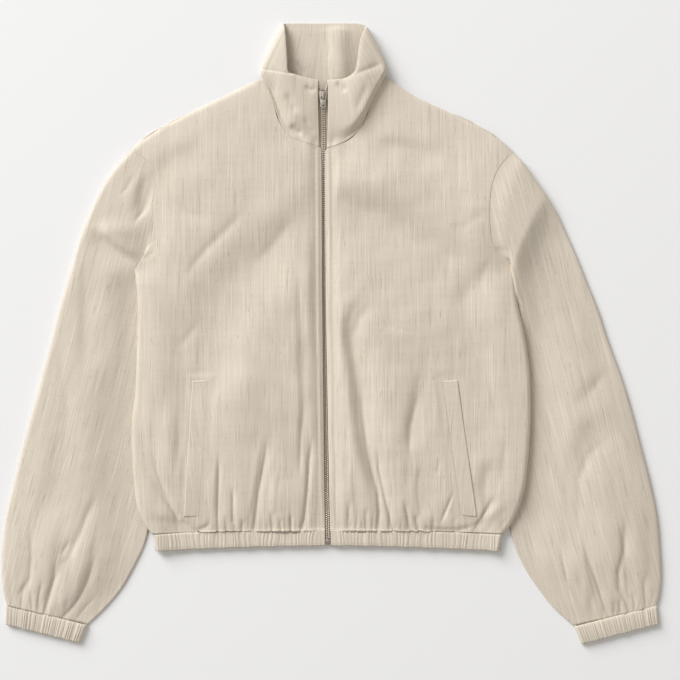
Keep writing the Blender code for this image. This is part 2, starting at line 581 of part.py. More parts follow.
# ---------------------------------------------------------------- hem band and collar
def build_band():
    """One gathered strip from the zip round the back to the zip again."""
    stations = []
    for half, sign in ((0, -1), (1, 1)):
        zip_x = zip_at(-246.0)[0] + sign * FRONT_TO_ZIP
        end = BAND_ENDS[half]
        line = [(zip_x, 0.0)]
        for g in range(GATHERS):
            t = (g + 0.5 + 0.2 * math.sin(1.9 * g + 2 * half)) / GATHERS
            step = 0.5 / GATHERS
            rise = GATHER_RISE * (0.7 + 0.3 * math.sin(2.6 * g + half))
            line.append((zip_x + (end - sign * 3.0 - zip_x) * (t - 0.6 * step), 0.0))
            line.append((zip_x + (end - sign * 3.0 - zip_x) * (t + 0.15 * step), rise))
        line.append((end - sign * 1.8, 0.0))
        stations.append(line)
    back = (-1.8, -12.0, -40.0, -90.0, -150.0, -206.0)
    outer, inner = [], []
    for down in (0.0, 0.12, 0.88, 1.0):
        swell = 0.4 * math.sin(math.pi * down)
        skin, lining = [], []

        def place(x, z, z_in, x_in=None):
            x_in = x if x_in is None else x_in
            y = hem_y(x) - SEAM_GAP - BAND_DEEP * down
            lift = float(tuck(x, hem_y(x)))
            skin.append((x, y, z + lift))
            lining.append((x_in, y, z_in + lift))

        for x, wave in stations[0]:
            ridge = wave * gather_share(down)
            place(x, BAND_TOP + DOUBLE + swell + ridge, BAND_TOP, max(x, BAND_ENDS[0] + 2.6))
        middle = (BAND_TOP + DOUBLE) / 2
        place(BAND_ENDS[0], middle, middle, BAND_ENDS[0] + 2.0)
        for x in np.linspace(BAND_ENDS[0] + 1.8, BAND_ENDS[1] - 1.8, 24):
            x_in = min(max(x, BAND_ENDS[0] + 2.6), BAND_ENDS[1] - 2.6)
            place(x, 0.0, DOUBLE, x_in)
        place(BAND_ENDS[1], middle, middle, BAND_ENDS[1] - 2.0)
        for x, wave in stations[1][::-1]:
            ridge = wave * gather_share(down)
            place(x, BAND_TOP + DOUBLE + swell + ridge, BAND_TOP, min(x, BAND_ENDS[1] - 2.6))
        outer.append(skin)
        inner.append(lining)
    wall("hem_band", outer, inner, cream_dark)


def build_collar():
    """A funnel with its back flat on the surface, its sides turned over and its front raised."""
    table = np.array(COLLAR, float)
    seam, middle, top = table[:, 0:3], table[:, 3:6], table[:, 6:9]
    loops = []
    for t in (0.0, 0.25, 0.5, 0.75, 1.0):
        loops.append(seam * (1 - t) * (1 - 2 * t) + middle * 4 * t * (1 - t) + top * t * (2 * t - 1))
    outer = np.array(loops)
    outer[:, :, 2] = np.maximum(outer[:, :, 2], 0.0)
    flat = outer[:, :, 2] < 0.01
    inner = np.zeros_like(outer)
    rows, columns = outer.shape[:2]
    for i in range(rows):
        for j in range(columns):
            before, after = outer[i, max(j - 1, 0)], outer[i, min(j + 1, columns - 1)]
            up, down = outer[min(i + 1, rows - 1), j], outer[max(i - 1, 0), j]
            inward = np.cross(after - before, up - down)
            inner[i, j] = outer[i, j] + inward / np.linalg.norm(inward) * DOUBLE
            if flat[i, j]:
                inner[i, j] = outer[i, j] + (0.0, 0.0, DOUBLE)
    wall("collar", outer, inner, cream_dark)


# ---------------------------------------------------------------- welts and zip
def height_on(grid, x, y):
    """Height of a panel's outer grid at a point: the highest of the four grid points nearest to it."""
    flat = grid.reshape(-1, 3)
    near = np.argsort(np.hypot(flat[:, 0] - x, flat[:, 1] - y))[:4]
    return float(flat[near, 2].max())


def build_welt(half, name, grid):
    """A flat strip sewn over the pocket's mouth."""
    ox, oy, ix, iy, bx, by, cx, cy = WELTS[half]
    rows = 14
    top, under = [], []
    for i in range(rows):
        t = i / (rows - 1)
        row, below = [], []
        seat = max(height_on(grid, (ox + (bx - ox) * t) * (1 - s) + (ix + (cx - ix) * t) * s,
                             (oy + (by - oy) * t) * (1 - s) + (iy + (cy - iy) * t) * s)
                   for s in (0.0, 0.5, 1.0))
        for s in (0.0, 0.06, 0.5, 0.94, 1.0):
            x = (ox + (bx - ox) * t) * (1 - s) + (ix + (cx - ix) * t) * s
            y = (oy + (by - oy) * t) * (1 - s) + (iy + (cy - iy) * t) * s
            edge = -0.4 if s in (0.0, 1.0) else 0.0
            row.append((x, y, seat + SEAM_GAP + WELT_THICK + edge))
            below.append((x, y, seat + SEAM_GAP))
        top.append(row)
        under.append(below)
    wall(name, top, under, cream_dark)


def build_tape(half, name):
    """One side of the zip: woven tape with its row of teeth as a plain bead along the edge."""
    sign = (-1, 1)[half]
    shape = ((0.15, 0.0), (TAPE_WIDTH, 0.0), (TAPE_WIDTH, TAPE_THICK), (ROW_WIDTH + 0.3, TAPE_THICK),
             (ROW_WIDTH, ROW_HIGH), (0.15, ROW_HIGH))
    bm = bmesh.new()
    rings = []
    levels = [-247.6, -236.0, -222.0, -200.0, -120.0, -40.0, 40.0, 120.0, 180.0, 200.0, 212.0, 224.0, 236.0,
              250.0, 264.0, 278.0, 283.0, 285.5, 288.0, 290.5, 293.0, 298.0, 303.0]
    for y in levels:
        x0, z0 = zip_at(y)
        shift = row_shift(y)
        wide = TAPE_WIDTH - shift
        ring = []
        for across, up in shape:
            reach = across + shift if across < TAPE_WIDTH else wide + shift
            ring.append(bm.verts.new(((x0 + sign * reach) * MM, y * MM, (z0 + up) * MM)))
        rings.append(ring)
    for a, b in zip(rings[:-1], rings[1:]):
        for j in range(len(shape)):
            k = (j + 1) % len(shape)
            bm.faces.new((a[j], a[k], b[k], b[j]))
    bm.faces.new(rings[0])
    bm.faces.new(rings[-1][::-1])
    bmesh.ops.recalc_face_normals(bm, faces=bm.faces)
    mesh = bpy.data.meshes.new(name)
    bm.to_mesh(mesh)
    bm.free()
    add_object(name, mesh, tape_cream)


def box(bm, low, high, taper=1.0):
    """A box between two corners; taper narrows it in x at its low-y end."""
    made = bmesh.ops.create_cube(bm, size=1.0)["verts"]
    low, high = np.array(low, float), np.array(high, float)
    for vert in made:
        share = np.array(vert.co) + 0.5
        x, y, z = low + (high - low) * share
        if share[1] < 0.5:
            x = (low[0] + high[0]) / 2 + (x - (low[0] + high[0]) / 2) * taper
        vert.co = (x * MM, y * MM, z * MM)
    return made


def joined(name, pieces, material):
    """Several closed shapes fused into one object."""
    base = add_object(name, pieces[0], material)
    for index, mesh in enumerate(pieces[1:]):
        cutter = bpy.data.objects.new(f"{name}_add{index}", mesh)
        helpers.objects.link(cutter)
        cutter.parent = laid_down
        cutter.hide_render = True
        cutter.display_type = "WIRE"
        union = base.modifiers.new(f"join{index}", "BOOLEAN")
        union.operation = "UNION"
        union.solver = "EXACT"
        union.object = cutter
    return base


def box_mesh(name, low, high, taper=1.0):
    bm = bmesh.new()
    box(bm, low, high, taper)
    bmesh.ops.recalc_face_normals(bm, faces=bm.faces)
    mesh = bpy.data.meshes.new(name)
    bm.to_mesh(mesh)
    bm.free()
    return mesh


def slider_heights():
    """x of the slider's middle, underside of its top plate and top of its lower plate."""
    x0, z0 = zip_at(SLIDER_Y)
    rise = (zip_at(SLIDER_Y + SLIDER_LONG / 2)[1] - zip_at(SLIDER_Y - SLIDER_LONG / 2)[1]) / 2
    return x0, z0 + ROW_HIGH + rise + SEAM_GAP, z0 - rise - SEAM_GAP


def build_slider():
    """Two plates round the zip, joined by a post between the parted rows, with a crown that holds the pull."""
    x0, top, bottom = slider_heights()
    wide = SLIDER_WIDE[0] / 2
    taper = SLIDER_WIDE[1] / SLIDER_WIDE[0]
    low_y, high_y = SLIDER_Y - SLIDER_LONG / 2, SLIDER_Y + SLIDER_LONG / 2
    face = top + SLIDER_PLATE
    crown = CROWN_WIDE / 2
    pieces = [
        box_mesh("slider_plate", (x0 - wide, low_y, top), (x0 + wide, high_y, face), taper),
        box_mesh("slider_under", (x0 - wide, low_y + 0.6, bottom - SLIDER_PLATE),
                 (x0 + wide, high_y, bottom), taper),
        box_mesh("slider_post", (x0 - POST_HALF, POST_FROM, bottom - 0.5),
                 (x0 + POST_HALF, high_y - 0.2, top + 0.5)),
        box_mesh("crown_bar", (x0 - crown, SLIDER_Y - 3.6, face + 1.9),
                 (x0 + crown, SLIDER_Y + 3.6, face + 2.9)),
        box_mesh("crown_leg_low", (x0 - crown, SLIDER_Y - 3.6, face - 0.4),
                 (x0 + crown, SLIDER_Y - 2.6, face + 2.2)),
        box_mesh("crown_leg_high", (x0 - crown, SLIDER_Y + 2.6, face - 0.4),
                 (x0 + crown, SLIDER_Y + 3.6, face + 2.2)),
    ]
    joined("zip_slider", pieces, nickel)


def build_pull():
    """A flat tab on two arms, hung by a pin that runs under the crown; it lies towards the hem."""
    x0, top, _ = slider_heights()
    pin_z = top + SLIDER_PLATE + 0.95
    bm = bmesh.new()
    bmesh.ops.create_cone(bm, cap_ends=True, segments=14, radius1=PIN_RADIUS * MM, radius2=PIN_RADIUS * MM,
                          depth=(TAB_WIDE - 0.6) * MM)
    pin = bpy.data.meshes.new("pull_pin")
    bm.to_mesh(pin)
    bm.free()
    pin.transform(Matrix.Rotation(math.pi / 2, 4, "Y"))
    eye, half, thick = EYE_WIDE / 2, TAB_WIDE / 2, TAB_THICK / 2
    pieces = [
        pin,
        box_mesh("pull_arm_right", (-half, -5.2, -thick), (-eye, 0.2, thick)),
        box_mesh("pull_arm_left", (eye, -5.2, -thick), (half, 0.2, thick)),
        box_mesh("pull_tab", (-half, -11.4, -thick), (half, -4.7, thick)),
        box_mesh("pull_rail_right", (-half, -13.4, -thick), (-half + 1.3, -11.0, thick)),
        box_mesh("pull_rail_left", (half - 1.3, -13.4, -thick), (half, -11.0, thick)),
        box_mesh("pull_end", (-half, -TAB_LONG, -thick), (half, -12.8, thick)),
    ]
    hinge = bpy.data.objects.new("pull_hinge", None)
    jacket.objects.link(hinge)
    hinge.parent = laid_down
    hinge.location = Vector((x0, SLIDER_Y, pin_z)) * MM
    base = joined("zip_pull", pieces, nickel)
    for obj in [base] + [helper for helper in helpers.objects if helper.name.startswith("zip_pull")]:
        obj.parent = hinge


def build_zip_box():
    """The stop that holds the lower ends of both rows."""
    wide, long, high = ZIP_BOX
    x0, z0 = zip_at(-251.0)
    bm = bmesh.new()
    box(bm, (x0 - wide / 2, -247.9 - long, z0), (x0 + wide / 2, -247.9, z0 + high))
    mesh = bpy.data.meshes.new("zip_box")
    bm.to_mesh(mesh)
    bm.free()
    stop = add_object("zip_box", mesh, nickel)
    rounded = stop.modifiers.new("rounded", "BEVEL")
    rounded.width = 0.5 * MM
    rounded.segments = 2


def lay_down():
    """Puts the origin on the surface, under the middle of the jacket's outline."""
    bpy.context.view_layer.update()
    corners = []
    for obj in jacket.objects:
        if obj.type == "MESH":
            corners += [obj.matrix_world @ vert.co for vert in obj.data.vertices]
    low = [min(c[i] for c in corners) for i in range(3)]
    high = [max(c[i] for c in corners) for i in range(3)]
    laid_down.location = (-(low[0] + high[0]) / 2, -(low[1] + high[1]) / 2, -low[2])


def clear_scene():
    for obj in list(bpy.data.objects):
        bpy.data.objects.remove(obj)
    for mesh in list(bpy.data.meshes):
        bpy.data.meshes.remove(mesh)


clear_scene()
jacket = bpy.data.collections.new("bomber_jacket")
helpers = bpy.data.collections.new("helpers")
bpy.context.scene.collection.children.link(jacket)
bpy.context.scene.collection.children.link(helpers)
laid_down = bpy.data.objects.new("laid_down", None)
jacket.objects.link(laid_down)

cream = cloth_material("cream_cloth", CREAM)
cream_dark = cloth_material("cream_cloth_doubled", CREAM_DARK)
tape_cream = cloth_material("zip_tape", TAPE_CREAM)
nickel = cloth_material("nickel", NICKEL, 0.35, 1.0)

build_back()
front_grids = [build_front(0, "front_right"), build_front(1, "front_left")]
build_sleeve(0, "sleeve_right")
build_sleeve(1, "sleeve_left")
build_cuff(0, "cuff_right")
build_cuff(1, "cuff_left")
build_band()
build_collar()
build_welt(0, "pocket_welt_right", front_grids[0])
build_welt(1, "pocket_welt_left", front_grids[1])
build_tape(0, "zip_tape_right")
build_tape(1, "zip_tape_left")
build_slider()
build_pull()
build_zip_box()
lay_down()
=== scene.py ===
"""The looks of a cream linen-look bomber jacket laid flat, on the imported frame."""

import math

import bmesh
import bpy
import numpy as np
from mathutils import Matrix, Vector


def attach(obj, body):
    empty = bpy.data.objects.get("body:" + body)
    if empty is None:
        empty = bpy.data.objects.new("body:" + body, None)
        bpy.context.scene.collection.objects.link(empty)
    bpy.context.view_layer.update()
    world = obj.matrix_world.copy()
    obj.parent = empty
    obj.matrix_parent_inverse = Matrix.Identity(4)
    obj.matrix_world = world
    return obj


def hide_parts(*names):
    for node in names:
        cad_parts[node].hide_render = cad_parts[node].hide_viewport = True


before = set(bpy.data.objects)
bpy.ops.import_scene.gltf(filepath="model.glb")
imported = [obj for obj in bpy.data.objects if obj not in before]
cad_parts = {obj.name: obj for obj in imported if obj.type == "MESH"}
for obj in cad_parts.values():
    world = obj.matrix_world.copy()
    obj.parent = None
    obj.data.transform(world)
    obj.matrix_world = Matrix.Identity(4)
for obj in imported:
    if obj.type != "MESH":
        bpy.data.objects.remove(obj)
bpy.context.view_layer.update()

# ------------------------------------------------------------------ back panel
# The back is one cut piece of slubbed cream cloth.  It lies flat on the surface, and only its
# side edges ride up where they lie on the sleeves.
MM = 0.001
CLOTH = 1.2
CREAM_LIGHT = (0.765, 0.686, 0.575, 1.0)
CREAM_SHADE = (0.560, 0.482, 0.385, 1.0)
TUCK_LIFT = 3.1
BODY_MIDDLE = -7.0
HEM_Y = -234.8
HEM_SAG = 6.8
HEM_HALF = 214.0
# Outlines of the two halves, the wearer's right first, from the hem up.  columns: x, y
SIDE = (
    (
        (-216, -242), (-222.5, -233.5), (-232.8, -212), (-237.4, -184), (-239.6, -152), (-240.6, -112),
        (-236.4, -73), (-234.8, -30), (-233.6, 12), (-233.6, 44), (-237, 76),
    ),
    (
        (206.2, -241.4), (213.2, -233.6), (223.8, -214), (232, -189), (236.6, -152), (239.2, -110),
        (239.6, -78), (237.6, -38), (231.6, 2), (222.8, 44), (220.2, 84),
    ),
)
ARMHOLE = (
    (
        (-237, 76), (-228.4, 90), (-218, 108), (-214, 130), (-213.4, 158), (-210.4, 180), (-211.6, 198),
        (-224, 210), (-241.8, 220),
    ),
    (
        (220.2, 84), (206, 92.4), (195, 106), (190.6, 126), (189.8, 151), (192.4, 176), (199, 195),
        (208.6, 208.4), (218.4, 219.2),
    ),
)
SHOULDER = (
    ((-241.8, 220), (-229.8, 232), (-202.2, 250), (-166.2, 268), (-129, 286), (-91.8, 304)),
    ((218.4, 219.2), (204.6, 232), (177, 250), (138.6, 268), (100.2, 286), (73.2, 303.6)),
)
BACK_NECK_Y = 293.2
SHOULDER_Y = 219.0
# Inner edge of each sleeve, where the body lies over it.  columns: y down the garment, distance from the middle
HIDDEN_EDGE = (
    ((-82, 238), (-26, 229), (14, 223.4), (42, 221.4), (76, 220.4), (148, 219.6), (214, 218), (250, 224)),
    ((-82, 222), (-27, 220.4), (14, 220), (42, 219.4), (76, 219.2), (148, 217.6), (214, 212.6), (250, 219)),
)


def eased(t):
    t = np.clip(t, 0.0, 1.0)
    return t * t * (3 - 2 * t)


def length_along(points):
    """Distance run along a line of points, from its first."""
    return np.concatenate([[0], np.cumsum(np.linalg.norm(np.diff(points, axis=0), axis=1))])


def drawn(points, shares):
    """Points of a smooth line through a table's points, at shares of its length."""
    points = np.array(points, float)
    run = length_along(points)
    keys = run / run[-1]
    slopes = np.gradient(points, keys, axis=0)
    shares = np.clip(np.asarray(shares, float), 0, 1)
    i = np.clip(np.searchsorted(keys, shares, side="right") - 1, 0, len(keys) - 2)
    span = (keys[i + 1] - keys[i])[:, None]
    t = (shares - keys[i])[:, None] / span
    start = (1 + 2 * t) * (1 - t) ** 2 * points[i] + t * (1 - t) ** 2 * span * slopes[i]
    end = t * t * (3 - 2 * t) * points[i + 1] + t * t * (t - 1) * span * slopes[i + 1]
    return start + end


def beside(x, y, path):
    """Distance from a line of points, the side of it, and the share of the way along it."""
    path = np.asarray(path, float)
    total = np.linalg.norm(np.diff(path, axis=0), axis=1).sum()
    best = np.full(np.shape(x), 1e9)
    side, share, run = np.zeros(np.shape(x)), np.zeros(np.shape(x)), 0.0
    for (ax, ay), (bx, by) in zip(path[:-1], path[1:]):
        dx, dy = bx - ax, by - ay
        long = math.hypot(dx, dy)
        t = np.clip(((x - ax) * dx + (y - ay) * dy) / long**2, 0, 1)
        off_x, off_y = x - ax - t * dx, y - ay - t * dy
        off = np.hypot(off_x, off_y)
        closer = off < best
        best = np.where(closer, off, best)
        side = np.where(closer, np.sign(dx * off_y - dy * off_x), side)
        share = np.where(closer, (run + t * long) / total, share)
        run += long
    return best, side, share


def tucked(x, y):
    """How far the body is lifted by the sleeve under its side."""
    lift = np.zeros(np.shape(x))
    for rows, here in zip(HIDDEN_EDGE, (x < BODY_MIDDLE, x >= BODY_MIDDLE)):
        keys, edges = np.array(rows, float).T
        hidden = np.interp(-y, keys, edges)
        lift = np.where(here, TUCK_LIFT * eased((np.abs(x) - hidden + 42) / 30) * eased((82 - y) / 26), lift)
    return lift


def hem_y(x):
    return HEM_Y - HEM_SAG * (np.abs(x + 5.0) / HEM_HALF) ** 1.7


def cloth_piece(name, grid, grain, ring=False, thick=CLOTH):
    """A thin shell on a grid of outer points in mm, with its grain as a UV map in metres."""
    grid, grain = np.asarray(grid, float), np.asarray(grain, float)
    rows, columns = grid.shape[:2]
    steps = columns if ring else columns - 1
    i, j = np.meshgrid(np.arange(rows - 1), np.arange(steps), indexing="ij")
    k = (j + 1) % columns
    quads = np.stack([i * columns + j, i * columns + k, (i + 1) * columns + k, (i + 1) * columns + j], -1)
    wide = grain.shape[1]
    m = (j + 1) % wide
    loops = np.stack([i * wide + j, i * wide + m, (i + 1) * wide + m, (i + 1) * wide + j], -1)
    quads, loops = quads.reshape(-1, 4), loops.reshape(-1, 4)
    points = grid.reshape(-1, 3)
    a, b, c, d = (points[quads[:, n]] for n in range(4))
    normal_z = np.cross(c - a, d - b)[:, 2]
    upper = (a + c)[:, 2] / 2 > points[:, 2].mean()
    if normal_z[upper].sum() < 0:
        quads, loops = quads[:, ::-1], loops[:, ::-1]
    mesh = bpy.data.meshes.new(name)
    mesh.from_pydata(points * MM, [], quads.tolist())
    uv = mesh.uv_layers.new(name="grain")
    uv.data.foreach_set("uv", (grain.reshape(-1, 2)[loops.reshape(-1)] * MM).ravel().astype(np.float32))
    mesh.shade_smooth()
    piece = bpy.data.objects.new(name, mesh)
    bpy.context.scene.collection.objects.link(piece)
    wall = piece.modifiers.new("wall", "SOLIDIFY")
    wall.thickness = thick * MM
    wall.offset = -1
    wall.use_even_offset = False
    return piece


def dressed(piece, material, node, body="jacket"):
    """Gives a piece its material and body, and lets it stand for its CAD node."""
    piece.data.materials.append(material)
    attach(piece, body)
    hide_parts(node)
    return piece


class Shade:
    """A shader socket that takes part in sums; node() adds any other node."""

    def __init__(self, tree, socket=None):
        self.tree, self.socket = tree, socket

    def node(self, kind, settings=None, feeds=None, out=0):
        made = self.tree.nodes.new(kind)
        for key, value in (settings or {}).items():
            setattr(made, key, value)
        for key, value in (feeds or {}).items():
            if isinstance(value, Shade):
                self.tree.links.new(value.socket, made.inputs[key])
            else:
                made.inputs[key].default_value = value
        return Shade(self.tree, made.outputs[out])

    def sum(self, operation, a, b):
        return self.node("ShaderNodeMath", {"operation": operation}, {0: a, 1: b})

    def __add__(self, other):
        return self.sum("ADD", self, other)

    __radd__ = __add__

    def __sub__(self, other):
        return self.sum("SUBTRACT", self, other)

    def __rsub__(self, other):
        return self.sum("SUBTRACT", other, self)

    def __mul__(self, other):
        return self.sum("MULTIPLY", self, other)

    __rmul__ = __mul__

    def noise(self, at, scale, detail):
        return self.node("ShaderNodeTexNoise", None, {"Vector": at, "Scale": scale, "Detail": detail})

    def ribs(self, direction, at, scale, distortion):
        feeds = {"Vector": at, "Scale": scale, "Distortion": distortion}
        return self.node("ShaderNodeTexWave", {"bands_direction": direction}, feeds)

    def bump(self, height, strength, distance):
        return self.node("ShaderNodeBump", None, {"Strength": strength, "Distance": distance, "Height": height})

    def part(self, low, high):
        """0 under low, 1 over high."""
        return self.node("ShaderNodeMapRange", {"interpolation_type": "SMOOTHSTEP"},
                         {"Value": self, "From Min": low, "From Max": high})

    def mixed(self, a, b):
        """Colour a where this is 0, b where it is 1."""
        return self.node("ShaderNodeMix", {"data_type": "RGBA"}, {0: self, 6: a, 7: b}, 2)


def new_finish(name, roughness, metallic=0.0):
    """An empty shader: the material, its Principled node and a Shade to build on."""
    material = bpy.data.materials.new(name)
    material.use_nodes = True
    shader = material.node_tree.nodes["Principled BSDF"]
    shader.inputs["Roughness"].default_value = roughness
    shader.inputs["Metallic"].default_value = metallic
    return material, shader, Shade(material.node_tree)


def feed(shade, shader, socket):
    shade.tree.links.new(shade.socket, shader.inputs[socket])


def slubbed_cloth(name):
    """Plain-woven linen-look cloth: long slubs and flecks along the grain over a fine weave."""
    material, shader, build = new_finish(name, 0.86)
    place = build.node("ShaderNodeUVMap", {"uv_map": "grain"})
    split = build.node("ShaderNodeSeparateXYZ", None, {0: place})
    across, length = split, Shade(build.tree, split.socket.node.outputs[1])

    def streaks(a, b, detail, offset):
        at = build.node("ShaderNodeCombineXYZ", None, {0: across * a, 1: length * b, 2: offset})
        return build.noise(at, 1.0, detail)

    flecks = streaks(560.0, 21.0, 3.0, 3.1).part(0.52, 0.76)
    pale = streaks(500.0, 14.0, 3.0, 8.7).part(0.50, 0.74)
    slubs = streaks(620.0, 60.0, 1.0, 6.4).part(0.70, 0.80)
    bands = streaks(120.0, 5.0, 2.0, 5.3)
    crossing = streaks(60.0, 600.0, 1.0, 1.7).part(0.54, 0.80)
    cloudy = streaks(16.0, 12.0, 2.0, 9.9)
    grit = streaks(1900.0, 1500.0, 1.0, 2.2)
    tone = 0.30 + 0.55 * flecks - 0.42 * pale + 0.50 * (bands - 0.5) + 0.16 * crossing + 0.9 * slubs
    tone = tone + 0.35 * (cloudy - 0.5) + 0.22 * (grit - 0.5)
    feed(tone.mixed(CREAM_LIGHT, CREAM_SHADE), shader, "Base Color")
    feed(0.80 + 0.10 * bands + 0.08 * flecks, shader, "Roughness")
    warp, weft = build.ribs("X", place, 260.0, 0.6), build.ribs("Y", place, 230.0, 0.6)
    weave = 0.30 * warp + 0.30 * weft + 0.55 * grit + 0.60 * pale - 0.35 * flecks + 0.5 * bands
    feed(build.bump(weave, 0.55, 0.0004), shader, "Normal")
    shader.inputs["Sheen Weight"].default_value = 0.12
    shader.inputs["Sheen Roughness"].default_value = 0.6
    shader.inputs["Specular IOR Level"].default_value = 0.25
    return material


def body_outline(half, *counts):
    """A body panel's outer edge from the hem to the neck, with a count of points for each of its three lines."""
    lines = zip((SIDE, ARMHOLE, SHOULDER), counts)
    side, armhole, shoulder = (drawn(table[half], np.linspace(0, 1, count)) for table, count in lines)
    return np.concatenate([side, armhole[1:], shoulder[1:]])


cream_cloth = slubbed_cloth("cream_slubbed_cloth")


def make_back():
    shoulder_rows = 20
    left, right = (body_outline(half, 60, 30, shoulder_rows) for half in (0, 1))
    first = len(left) - shoulder_rows
    share = np.linspace(0, 1, 110)[None, :]
    x = left[:, :1] + (right[:, :1] - left[:, :1]) * share
    y = left[:, 1:] + (right[:, 1:] - left[:, 1:]) * share
    y[0] = hem_y(x[0])
    t = np.clip((np.arange(len(left)) - first) / (shoulder_rows - 1), 0, 1)[:, None]
    middle = SHOULDER_Y + (BACK_NECK_Y - SHOULDER_Y) * t
    y = np.where(t > 0, middle + (y - middle) * np.abs(2 * share - 1) ** 3.5, y)
    z = CLOTH + tucked(x, y)
    piece = cloth_piece("back_panel_cloth", np.stack([x, y, z], -1), np.stack([x, y], -1))
    return dressed(piece, cream_cloth, "back_panel")


back_panel = make_back()

# ------------------------------------------------------------------ fronts
# Two cut fronts of the same cloth, sewn to the back at the sides and shoulders.  Each lies over
# a little air, blouses above the hem band and is creased where the band gathers it in.
BLOUSE = 0.8            # fullness just above the hem band
LOFT = 12.5             # height of the smooth front off the surface
EDGE_TURN = 4.0         # height of the turn at a folded or sewn edge
SEAM_GAP = 0.3
LAID_EDGE = 2 * CLOTH + SEAM_GAP
LEAST_TOP = LAID_EDGE - 0.4
SEAM_TOP = (8.0, 19.0)  # height that each front comes down to at its armhole
SEAM_REACH = (16.0, 40.0)
LEAST_RISE = 2.5
STITCHED_AT = 10.2      # row of stitches from the zip's middle
SIDE_ROWS = 124
FRONT_COLUMNS = 190
# Neck seam of each front from the zip to the shoulder.  columns: x, y
NECK = (
    ((-13.6, 223.6), (-33, 229.6), (-49.8, 236.8), (-60.6, 250), (-72.6, 283.6), (-83.4, 307)),
    ((-5, 222.6), (6.6, 226), (22.2, 233.2), (34.2, 246), (52.2, 284), (65.4, 306.6)),
)
# The closed zip.  columns: y, x of its middle, height of the tape's underside
ZIP_RUN = (
    (-256, -4.2, 2.1), (-236, -4.6, 2.1), (-200, -5.4, 1.7), (40, -9, 1.6), (195, -9.8, 1.7), (222, -9.9, 3.2),
    (250, -10, 6.6), (278, -10.1, 9.2), (303, -10.2, 10.2),
)
# Pocket welts.  columns: top x, y of the outer and inner corners, bottom x, y of the same
WELTS = (
    (-167.2, -57.2, -147, -56, -177.6, -220.4, -158.4, -221),
    (151.2, -56, 130.4, -57.2, 174.6, -220.4, 153, -219.2),
)
# Sharp creases.  columns: half width, depth, 1 when it runs out at a seam, then its points
FRONT_CREASES = (
    (
        (3.5, 2.4, 1, (-216, -121), (-213, -156), (-202, -190), (-195, -205), (-185, -222), (-173, -237)),
        (3.2, 3, 1, (-218, -170), (-207, -190), (-196, -206), (-184, -224), (-174, -240)),
        (2.2, 1.4, 1, (-206, -218), (-200, -240)), (2.2, 1.6, 1, (-189, -218), (-184, -240)),
        (2.2, 2, 1, (-135, -130), (-137, -200), (-137, -238)), (2.5, 1.9, 1, (-119, -180), (-119, -226)),
        (3, 2.2, 1, (-75, -113), (-80, -147), (-88, -190), (-94, -237)), (2, 1.5, 1, (-73, -212), (-72, -236)),
        (2, 1.7, 1, (-50, -217), (-49, -236)), (2.4, 1.1, 1, (-107, -222), (-108, -238)),
        (2.6, 3.3, 1, (-16, -113), (-23, -126), (-27, -150), (-30, -190), (-33, -224), (-37, -236)),
        (4, 1.9, 0, (-34, -78), (-37, -129), (-38, -180)), (6.5, 1, 0, (-40, 100), (-38, -80)),
        (7, 1.2, 0, (-187, -177), (-184, -129), (-186, -80)), (2, 1, 1, (-62, -222), (-61, -236)),
        (2.2, 2.3, 0, (-173, -236), (-163, -238), (-153, -234), (-144, -226)),
        (2.2, 1, 1, (-128, -216), (-127, -238)), (2.4, 1, 0, (-234, 86), (-222, 92), (-211, 99)),
        (2.5, 1.1, 0, (-230, 98), (-213, 114)),
        (9, 1.5, 0, (-98, 154), (-128, 122), (-151, 100), (-170, 76), (-182, 52)),
        (11, 1.1, 0, (-44, 142), (-72, 104), (-98, 76)), (8, 1, 0, (-158, 16), (-174, -6), (-188, -20)),
        (10, 0.9, 0, (-206, -60), (-204, -120), (-200, -170)), (9, 1, 0, (-205, 168), (-170, 142), (-140, 138)),
    ),
    (
        (
            4, 2.7, 1, (32.5, -44), (35, -78), (39, -112), (44, -147), (50, -172), (55, -190), (57, -215),
            (55, -236),
        ),
        (3, 2.5, 1, (53, -121), (57, -164), (63, -193), (68.5, -216), (73, -236)),
        (2.5, 2.1, 1, (86, -197), (94, -236)), (2.5, 2.3, 1, (99, -217), (104, -236)),
        (2.2, 1.8, 0, (149, -186), (142, -202), (135, -219), (130, -232)),
        (2.5, 2.7, 0, (105, -232), (118, -236), (135, -237), (152, -237), (164, -234), (175, -229)),
        (3.4, 4.2, 1, (198, -193), (191, -205), (183, -217), (175, -230)),
        (2.2, 2, 1, (213, -219), (200, -238)), (7, 1.6, 0, (209, -124), (206, -156), (202, -181), (198, -193)),
        (2, 1.3, 1, (194, -226), (188, -238)),
        (6, 1.5, 0, (108, -61), (101, -87), (94, -112), (94, -140), (98, -164)),
        (4, 0.8, 0, (130, -148), (127, -172)), (2.2, 1.7, 1, (20.5, -198), (20, -236)),
        (2, 1.4, 1, (41, -207), (41, -236)), (2, 1, 1, (120, -222), (121, -238)),
        (9, 1.2, 0, (52, 40), (34, 18), (26, -4), (30, -40)),
        (12, 1, 0, (-2, 172), (40, 146), (84, 118), (128, 98)), (8, 1.1, 0, (196, 96), (182, 74), (176, 44)),
        (9, 0.9, 0, (190, 150), (160, 128), (132, 124)), (10, 1, 0, (190, -60), (200, -110), (204, -150)),
        (2.4, 1, 0, (214, 88), (203, 96), (194, 105)),
    ),
)
